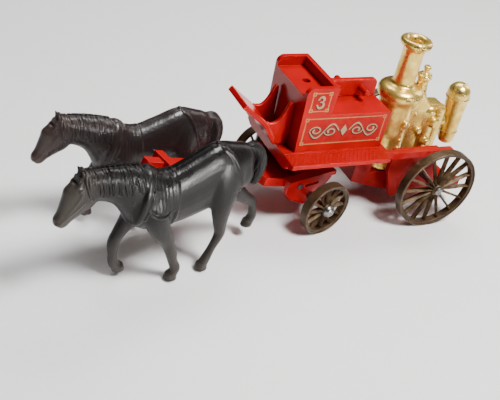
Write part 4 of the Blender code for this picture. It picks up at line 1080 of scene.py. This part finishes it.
outlet(spoke_tree, spoke_in, spoke_end, spoke_set, bronze_finish)


def there_and_back(line):
    """A closed outline from one half of it and that half's mirror image."""
    return line + [(r, -h) for r, h in line[::-1]]


def ring(skin, profile, sides):
    """Adds a closed ring to a bmesh: a closed (radius, height) outline swept round Z."""
    rings = []
    for i in range(sides):
        a = math.tau * i / sides
        rings.append([skin.verts.new((r * math.cos(a), r * math.sin(a), h)) for r, h in profile])
    bmesh.ops.recalc_face_normals(skin, faces=bands(skin, rings + rings[:1]))


def spoked_wheel(node, carrier, radius, width, spokes):
    """A wheel that turns on its carrier's axle, and is a body of its own."""
    low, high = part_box(node)
    half = width / 2
    inner = radius - RIM_DEPTH
    rim_half = [
        (radius, 0.14 * MM - half),
        (radius - 0.12 * MM, -half),
        (radius - 0.4 * MM, -half),
        (radius - 0.48 * MM, 0.2 * MM - half),
        (inner + 0.12 * MM, 0.28 * MM - half),
        (inner, 0.42 * MM - half),
    ]
    hub_half = [(HUB_BORE, half), (HUB_RING, half)]
    hub_half += [(HUB_RING + 0.2 * MM, half - 0.16 * MM), (HUB_SIDE, half - 0.5 * MM)]
    skin = bmesh.new()
    ring(skin, there_and_back(rim_half), 120)
    ring(skin, there_and_back(hub_half), 60)
    wheel = grown(
        node + "_moulding",
        as_mesh(skin, node + "_rim"),
        spoke_tree,
        Spokes=spokes,
        Hub_Radius=1.5 * MM,
        Rim_Radius=inner + 0.2 * MM,
        Hub_End=0.4 * MM,
        Rim_End=0.32 * MM,
        Depth_Share=2.5,
    )
    wheel.data.transform(toward((low + high) / 2, FRAME_AXIS[carrier]))
    smooth_skin(wheel, bronze_finish, WHEEL_SHARP)
    fitted(wheel, node, "bronze_plastic", node)


for label in ("near", "far"):
    for axle, values in WHEELS.items():
        spoked_wheel(axle + "_wheel_" + label, *values)

# Horses: two castings from one mould in black plastic, walking, with the head low. The harness
# is moulded on: a collar with its hames, a saddle with its patch and girth, a strap along the
# back, hip straps and a bridle. The mane lies in clumps and the tail in twisted locks.
HORSE_SHARP = 60
MANE_START = 6.6
MANE_RUN = 12.8
MANE_ROOT = 29.5
TAIL_LOCKS = 22
COMB_TILT = math.radians(-32)
COMB_SCALE = 1900.0
COMB_DEPTH = 0.1 * MM
LEGS_HAZE_DUSTING = (20 * MM, 2 * MM)
NOSE_HAZE_DUSTING = (-51 * MM, -60 * MM)
BARE_VOXEL = 0.3
DRESSED_VOXEL = 0.19
FACES_KEPT = 0.72
# In millimetres, along the trunk: ahead, top, bottom and half width. Along each limb: ahead,
# height, half length and half width.
TRUNK = [
    (-24.2, 30.2, 23.4, 1.8), (-22.2, 31.9, 20.2, 3.3), (-19.0, 32.9, 17.4, 3.9),
    (-13.5, 33.9, 16.2, 4.0), (-7.0, 31.4, 14.9, 4.0), (-1.0, 29.5, 14.7, 4.0),
    (4.0, 31.6, 15.2, 3.8), (8.0, 32.6, 18.8, 3.2), (11.5, 33.3, 23.8, 2.7),
    (15.0, 33.7, 25.8, 2.3), (18.6, 33.9, 26.4, 2.2), (20.6, 33.6, 29.0, 1.6),
]
HEAD = [
    (18.4, 30.2, 3.6, 2.2), (19.6, 28.0, 4.3, 2.3), (21.2, 25.9, 3.1, 2.0), (22.7, 23.9, 2.1, 1.6),
    (23.7, 22.6, 1.8, 1.5), (24.3, 21.9, 1.1, 1.1),
]
STANDING_FORE = [
    (3.4, 26.0, 2.0, 0.4), (3.0, 23.6, 3.2, 1.4), (2.5, 20.5, 3.2, 2.1), (0.6, 15.8, 2.5, 1.9),
    (-1.8, 11.8, 1.75, 1.5), (-3.1, 8.8, 1.55, 1.35), (-4.2, 5.2, 1.2, 1.1), (-5.2, 2.8, 1.35, 1.2),
    (-4.6, 1.3, 1.35, 1.3), (-4.2, 0.0, 1.75, 1.55),
]
RAISED_FORE = [
    (3.4, 26.0, 2.0, 0.4), (3.4, 23.4, 3.1, 1.4), (3.6, 20.0, 3.1, 2.1), (5.0, 16.0, 2.4, 1.8),
    (7.2, 12.4, 1.7, 1.45), (8.3, 9.9, 1.5, 1.3), (8.1, 6.4, 1.2, 1.1), (7.8, 3.9, 1.25, 1.1),
    (6.9, 2.4, 1.3, 1.25), (6.2, 1.3, 1.55, 1.45),
]
LEADING_HIND = [
    (-16.8, 29.5, 2.4, 0.4), (-16.4, 26.6, 3.8, 1.3), (-15.8, 22.4, 4.0, 2.0),
    (-15.7, 17.6, 2.8, 2.0), (-16.2, 12.8, 1.8, 1.5), (-16.6, 9.5, 1.4, 1.2),
    (-15.2, 5.9, 1.0, 1.0), (-14.1, 3.2, 1.25, 1.1), (-13.3, 1.4, 1.3, 1.3),
    (-12.9, 0.0, 1.7, 1.55),
]
TRAILING_HIND = [
    (-18.2, 29.5, 2.4, 0.4), (-18.9, 26.6, 3.8, 1.3), (-19.8, 22.4, 4.0, 2.0),
    (-22.8, 17.5, 3.0, 2.0), (-27.4, 13.3, 1.9, 1.5), (-30.6, 10.8, 1.45, 1.2),
    (-31.4, 8.2, 1.05, 1.0), (-31.9, 6.3, 1.25, 1.1), (-31.3, 4.8, 1.3, 1.25),
    (-30.5, 3.4, 1.5, 1.45),
]
TAIL = [
    (-22.4, 31.0, 0.9, 1.0), (-24.6, 30.7, 1.2, 1.3), (-26.4, 28.7, 1.4, 1.6),
    (-27.2, 25.4, 1.6, 1.8), (-27.0, 22.4, 1.5, 1.7), (-26.2, 19.8, 0.9, 1.1),
]
# Each leg with its side and the lean of its hoof
LEGS = (
    (STANDING_FORE, -3.2, 0.5),
    (RAISED_FORE, 3.2, -0.9),
    (LEADING_HIND, -3.2, 0.5),
    (TRAILING_HIND, 3.2, 0.8),
)
# Muscle and bone: ahead, height, side, then half length, half width and half height, and a tilt
FORMS = [
    (4.6, 23.0, 2.9, 3.4, 1.35, 5.4, 18), (6.5, 21.2, 1.5, 2.0, 1.9, 2.6, 0),
    (-17.5, 26.0, 2.3, 4.6, 1.9, 5.0, -12), (-21.2, 25.4, 1.9, 2.7, 1.8, 4.4, -16),
    (18.6, 28.4, 1.6, 2.1, 0.75, 2.5, 30), (20.5, 31.2, 1.45, 0.8, 0.5, 0.6, 40),
    (23.8, 22.7, 0.9, 0.9, 0.65, 0.8, 35),
]
EAR = [(19.3, 33.2), (19.6, 34.1), (19.95, 34.8), (20.1, 35.15)]
EYE = (20.35, 30.6, 1.98)
# The half width and the rise of each strap
GIRTH = (0.5, 0.34)
SADDLE_PAD = (1.25, 0.26)
COLLAR = (0.85, 0.5)
HAMES = (0.32, 0.45)
BACK_STRAP = (0.24, 0.16)
SADDLE_PATCH = (0.62, 0.3)
NOSE_STRAP = (0.26, 0.18)
# The straps that lie on each flank: their (ahead, height) points, half width and rise
FLANK_STRAPS = (
    ([(5.9, 25.2), (4.9, 22.6), (3.2, 21.3), (1.0, 20.9), (-1.8, 21.4)], 0.28, 0.4),
    ([(-14.0, 33.6), (-16.0, 31.8), (-17.6, 29.0), (-18.9, 25.5), (-20.6, 19.3)], 0.45, 0.26),
    ([(22.9, 24.9), (21.6, 27.0), (20.4, 29.2), (19.5, 31.6), (19.0, 33.0)], 0.22, 0.16),
)
# Each layer of the mane: its locks, their shortest and longest fall, half width and lift
MANE_LAYERS = ((34, 0.95, 1.4, 0.30, 0.0), (28, 0.6, 1.0, 0.28, 0.12), (24, 0.3, 0.6, 0.32, 0.22))
ACROSS = Vector((0, 1, 0))
LEVEL = (Vector((1, 0, 0)), ACROSS)
SQUARE_ON = (ACROSS, Vector((0, 0, 1)))
# Gloss, then the deep and bright tone of each horse's black, and its greyer tone where the pale
# haze and dusting are painted. The near horse's black is painted darker than the far one's, a
# painted shade against the stronger lamp light on its near flank.
BLACKS = {
    "near": (0.2, (0.0032, 0.0027, 0.0026, 1), (0.0062, 0.0052, 0.005, 1), (0.036, 0.030, 0.0255, 1)),
    "far": (0.36, (0.012, 0.0078, 0.0076, 1), (0.019, 0.0125, 0.012, 1), (0.042, 0.027, 0.024, 1)),
}
KINGPIN_PLACE = (9.791 * MM, 5.676 * MM, 0)
STEER_AT_REST = math.radians(13.72)
TEAM = {
    "near": {"ahead": 51.4, "side": -11.4, "turn": -1.0, "tilt": 0.0, "size": 1.0},
    "far": {"ahead": 49.6, "side": 9.0, "turn": -4.5, "tilt": 4.0, "size": 0.925},
}


def oval(centre, across, up, half_across, half_up, sides=20):
    angles = [math.tau * i / sides for i in range(sides)]
    return [centre + across * half_across * math.cos(a) + up * half_up * math.sin(a) for a in angles]


def onward(path, i):
    """The way from the point before to the point after, in a row of points."""
    return path[min(i + 1, len(path) - 1)] - path[max(i - 1, 0)]


def limb(skin, line, side=0.0):
    """A leg, the head or the tail: ovals square to the run of the line."""
    rows = eased_rows(line)
    centres = [Vector((-row[0], side, row[1])) for row in rows]
    rings = []
    for i, row in enumerate(rows):
        run = onward(centres, i).normalized()
        rings.append(oval(centres[i], ACROSS, run.cross(ACROSS), row[3], row[2]))
    loft(skin, rings)


def form(skin, ahead, height, side, half_run, half_side, half_up, tilt=0.0):
    """A rounded mass, tilted in the horse's side view."""
    made = bmesh.ops.create_icosphere(skin, subdivisions=3, radius=1)
    place = Matrix.Translation((-ahead, side, height)) @ Matrix.Rotation(math.radians(tilt), 4, "Y")
    size = Matrix.Diagonal((half_run, half_side, half_up, 1))
    bmesh.ops.transform(skin, matrix=place @ size, verts=made["verts"])


def cord(skin, path, widths, normals, flat, sides=10):
    """A lock of hair or a strap along a path; flat is its height as a share of its half width."""
    rings = []
    for i, point in enumerate(path):
        run = onward(path, i).normalized()
        across = run.cross(normals[i]).normalized()
        up = across.cross(run).normalized()
        rings.append(oval(point, across, up, widths[i], widths[i] * flat, sides))
    loft(skin, rings)


def one_skin(skin, voxel, relax, name, kept=1.0):
    """All the closed forms in a bmesh merged into one skin, with a share of its faces kept."""
    piece = placed(name, as_mesh(skin, name))
    merge = piece.modifiers.new("merge", "REMESH")
    merge.mode = "VOXEL"
    merge.voxel_size = voxel
    soften = piece.modifiers.new("soften", "SMOOTH")
    soften.factor = 0.5
    soften.iterations = relax
    if kept < 1:
        thin = piece.modifiers.new("thin", "DECIMATE")
        thin.ratio = kept
    return made_plain(piece)


def horse_forms(skin, legs):
    """The bare animal in millimetres, its withers above the origin and its head to -X."""
    rings = []
    for ahead, top, low, half in eased_rows(TRUNK):
        rings.append(oval(Vector((-ahead, 0, (top + low) / 2)), *SQUARE_ON, half, (top - low) / 2, 28))
    loft(skin, rings)
    limb(skin, HEAD)
    limb(skin, TAIL)
    for line, side, _ in legs:
        limb(skin, line, side)
    for side in (-1, 1):
        for ahead, height, out, *shape in FORMS:
            form(skin, ahead, height, side * out, *shape)
        path = [Vector((-ahead, side * (1.0 + 0.08 * n), height)) for n, (ahead, height) in enumerate(EAR)]
        cord(skin, path, [0.66, 0.62, 0.36, 0.08], [Vector((-1, 0, 0.3))] * 4, 0.62)


def skin_hit(tree, start, direction):
    """The first point of the skin from inside it, and the way out there."""
    point, normal, _, _ = tree.ray_cast(Vector(start), Vector(direction).normalized())
    return point, normal


def band(tree, centre, axis, first=0.0, last=360.0, steps=72):
    """Points on the skin round an axis through the body, with the ways out."""
    up = Vector(axis).normalized().cross(ACROSS).normalized()
    path, normals = [], []
    for i in range(steps + 1):
        a = math.radians(first + (last - first) * i / steps)
        way = up * math.cos(a) + ACROSS * math.sin(a)
        point, normal = skin_hit(tree, centre, way)
        if point is not None:
            path.append(point)
            normals.append((normal + way).normalized())
    for _ in range(3):
        path[1:-1] = [(a + 2 * b + c) / 4 for a, b, c in zip(path, path[1:], path[2:])]
        normals[1:-1] = [(a + 2 * b + c).normalized() for a, b, c in zip(normals, normals[1:], normals[2:])]
    return path, normals


def draped(tree, line, side):
    """(ahead, height) points pressed onto one flank, with the ways out."""
    hits = [skin_hit(tree, (-ahead, 0, height), (0, side, 0)) for ahead, height in line]
    hits = [hit for hit in hits if hit[0] is not None]
    return [point for point, _ in hits], [normal for _, normal in hits]


def strap(skin, path, normals, half_width, proud):
    """A moulded strap that stands proud of the skin by a given height."""
    cord(skin, path, [half_width] * len(path), normals, proud / half_width)


def harness(skin, tree, trunk):
    """Every strap of the harness, laid on the bare animal's skin; the girth and the collar pass
    inside its legs."""
    strap(skin, *band(trunk, (2.4, 0, 22.5), (1, 0, 0.04)), *GIRTH)
    strap(skin, *band(tree, (0.9, 0, 23.0), (1, 0, 0.04), -52, 52), *SADDLE_PAD)
    strap(skin, *band(trunk, (-5.6, 0, 25.5), (1, 0, -0.3)), *COLLAR)
    strap(skin, *band(trunk, (-4.5, 0, 25.2), (1, 0, -0.3), -140, 140), *HAMES)
    top = [skin_hit(tree, (3.4 + 0.85 * i, 0, 25), (0, 0, 1)) for i in range(13)]
    strap(skin, [point for point, _ in top], [normal for _, normal in top], *BACK_STRAP)
    form(skin, -13.6, 33.9, 0, 0.6, 0.55, 0.42)
    for side in (-1, 1):
        for i in range(8):
            ahead = 5.3 - 0.98 * i
            low = 21.6 + 0.13 * max(ahead - 1.0, 0) ** 2
            flank = [(ahead + 0.04 * (height - 26), height) for height in np.linspace(low, 31.6, 12)]
            strap(skin, *draped(tree, flank, side), *SADDLE_PATCH)
        for line, half_width, proud in FLANK_STRAPS:
            strap(skin, *draped(tree, eased_rows(line), side), half_width, proud)
        form(skin, EYE[0], EYE[1], side * EYE[2], 0.42, 0.26, 0.36, 30)
    strap(skin, *band(tree, (-22.6, 0, 24.6), (-0.72, 0, 0.69)), *NOSE_STRAP)


def mane(skin, tree):
    """Three layers of pointed locks from the crest down both sides of the neck."""
    rng = np.random.default_rng(11)
    for side in (-1, 1):
        for count, shortest, longest, wide, lift in MANE_LAYERS:
            for i in range(count):
                start = MANE_START + MANE_RUN * (i + rng.uniform(-0.4, 0.4)) / (count - 1)
                fall = rng.uniform(shortest, longest) * (1.08 - 0.012 * start)
                lean = rng.uniform(0.2, 2.2)
                sway = rng.uniform(0.15, 0.5)
                phase = rng.uniform(0, math.tau)
                path, normals = [], []
                for step in range(12):
                    t = fall * step / 11
                    ahead = start - lean * t + sway * t * math.sin(phase + 5.5 * t)
                    low = max(1.0 - t, 0.02)
                    way = Vector((0, side * (1 - low * 0.96), low + 0.06 - 0.35 * t))
                    point, normal = skin_hit(tree, (-ahead, 0, MANE_ROOT - t), way)
                    if point is not None:
                        path.append(point + normal * lift)
                        normals.append((normal + way).normalized())
                if len(path) < 4:
                    continue
                shares = [math.sin(math.pi * (0.25 + 0.7 * n / (len(path) - 1))) for n in range(len(path))]
                cord(skin, path, [wide * share + 0.03 for share in shares], normals, 0.9, 8)
    for i in range(7):
        path, normals = [], []
        for step in range(7):
            a = math.radians(30 + (34 + 8 * rng.uniform(-1, 1)) * step / 6)
            way = Vector((-math.sin(a), 0.12 * (i - 3) * (1 + 0.3 * step / 6), math.cos(a)))
            point, normal = skin_hit(tree, (-18.6, 0, 30.2), way)
            if point is not None:
                path.append(point - normal * 0.06)
                normals.append(normal)
        cord(skin, path, [0.22 - 0.025 * n for n in range(len(path))], normals, 0.8, 8)


def tail_locks(skin):
    """Twisted locks all round the tail, from its root to uneven tips."""
    rng = np.random.default_rng(5)
    rows = eased_rows(TAIL, 5)
    for i in range(TAIL_LOCKS):
        start = math.tau * i / TAIL_LOCKS
        twist = rng.uniform(0.4, 1.5)
        tip = rng.uniform(0.8, 1.0)
        last = int(tip * (len(rows) - 1))
        path, widths = [], []
        for n in range(last + 1):
            ahead, height, half_run, half_side = rows[n]
            t = n / last
            a = start + twist * t + 0.2 * math.sin(9 * t + i)
            back, side = 0.9 * half_run * math.cos(a), 0.9 * half_side * math.sin(a)
            path.append(Vector((-ahead - back, side, height)))
            widths.append(0.34 * math.sin(math.pi * (0.25 + 0.68 * t)) + 0.05)
        cord(skin, path, widths, [Vector((-math.cos(start), math.sin(start), 0.1))] * len(path), 0.9, 8)


def bare_and_dressed():
    """The one mould that both horses come from, in millimetres."""
    trees = []
    for legs in ((), LEGS):
        bare = bmesh.new()
        horse_forms(bare, legs)
        body = one_skin(bare, BARE_VOXEL, 3, "bare_horse")
        corners = [vertex.co for vertex in body.data.vertices]
        trees.append(BVHTree.FromPolygons(corners, [face.vertices[:] for face in body.data.polygons]))
        if not legs:
            bpy.data.objects.remove(body)
    trunk, tree = trees
    dressed = bmesh.new()
    dressed.from_mesh(body.data)
    harness(dressed, tree, trunk)
    for line, side, lean in LEGS:
        ahead, height, half_run, half_side = line[-1]
        coronet = Vector((-ahead + 0.25 * lean, side, height + 1.7))
        sole = Vector((-ahead, side, height))
        hoof = ((coronet, 0.8, 0.86), ((coronet + sole) / 2, 0.92, 0.95), (sole, 1, 1))
        loft(dressed, [oval(centre, *LEVEL, half_run * a, half_side * b) for centre, a, b in hoof])
    bpy.data.objects.remove(body)
    horse = one_skin(dressed, DRESSED_VOXEL, 1, "dressed_horse", FACES_KEPT)
    hair = bmesh.new()
    mane(hair, tree)
    tail_locks(hair)
    hair.from_mesh(horse.data)
    hair.to_mesh(horse.data)
    hair.free()
    return horse


def black_plastic(name, gloss, deep, bright, haze_dusting_tone):
    """Black plastic with combed hair moulded in it, painted greyer towards the hooves and at the nose, a
    painted pale haze with a dusting.
    """
    finish, tree, shader = new_finish(name, Specular_IOR_Level=gloss)
    tone, grain = moulded(tree, patches=150.0, grain=1800.0, depth=0.25)
    place = own_place(tree)
    combed = {"Vector": place, "Rotation": (0, COMB_TILT, 0), "Scale": (1, 1, 0.1)}
    streaks = noise(tree, add_node(tree, "ShaderNodeMapping", combed).outputs[0], COMB_SCALE)
    depths = {"Strength": 0.55, "Distance": COMB_DEPTH, "Height": streaks, "Normal": grain}
    relief = add_node(tree, "ShaderNodeBump", depths).outputs["Normal"]
    axes = add_node(tree, "ShaderNodeSeparateXYZ", {"Vector": place})
    # Greyer towards the hooves and at the nose: a painted pale haze of light, with a dusting
    legs_haze = ranged(tree, axes.outputs["Z"], *LEGS_HAZE_DUSTING, 0.0, 0.8)
    nose_haze = ranged(tree, axes.outputs["X"], *NOSE_HAZE_DUSTING)
    dull = worked(tree, "MAXIMUM", legs_haze, nose_haze)
    colour = blended(tree, dull, blended(tree, tone, deep, bright), haze_dusting_tone)
    feed(tree, shader, Base_Color=colour, Roughness=ranged(tree, tone, 0, 1, 0.4, 0.24), Normal=relief)
    return finish


mould = bare_and_dressed()
king = Matrix.Translation(KINGPIN_PLACE) @ Matrix.Rotation(STEER_AT_REST, 4, "Z")
for label, spot in TEAM.items():
    horse = placed("horse_moulding_" + label, mould.data.copy())
    tilt = Matrix.Rotation(math.radians(spot["tilt"]), 4, "Y")
    horse.data.transform(tilt @ Matrix.Scale(spot["size"], 4))
    lowest = min(vertex.co.z for vertex in horse.data.vertices)
    shift = Matrix.Translation((-spot["ahead"], spot["side"], -lowest))
    turn = Matrix.Rotation(math.radians(spot["turn"]), 4, "Z")
    horse.data.transform(king @ Matrix.Scale(MM, 4) @ shift @ turn)
    # Each horse gets its own copy of the black, the near one painted darker as shade against its lamp light
    smooth_skin(horse, black_plastic("black_plastic_" + label, *BLACKS[label]), HORSE_SHARP)
    fitted(horse, label + "_horse", "black_plastic", "horse_" + label)
bpy.data.objects.remove(mould)
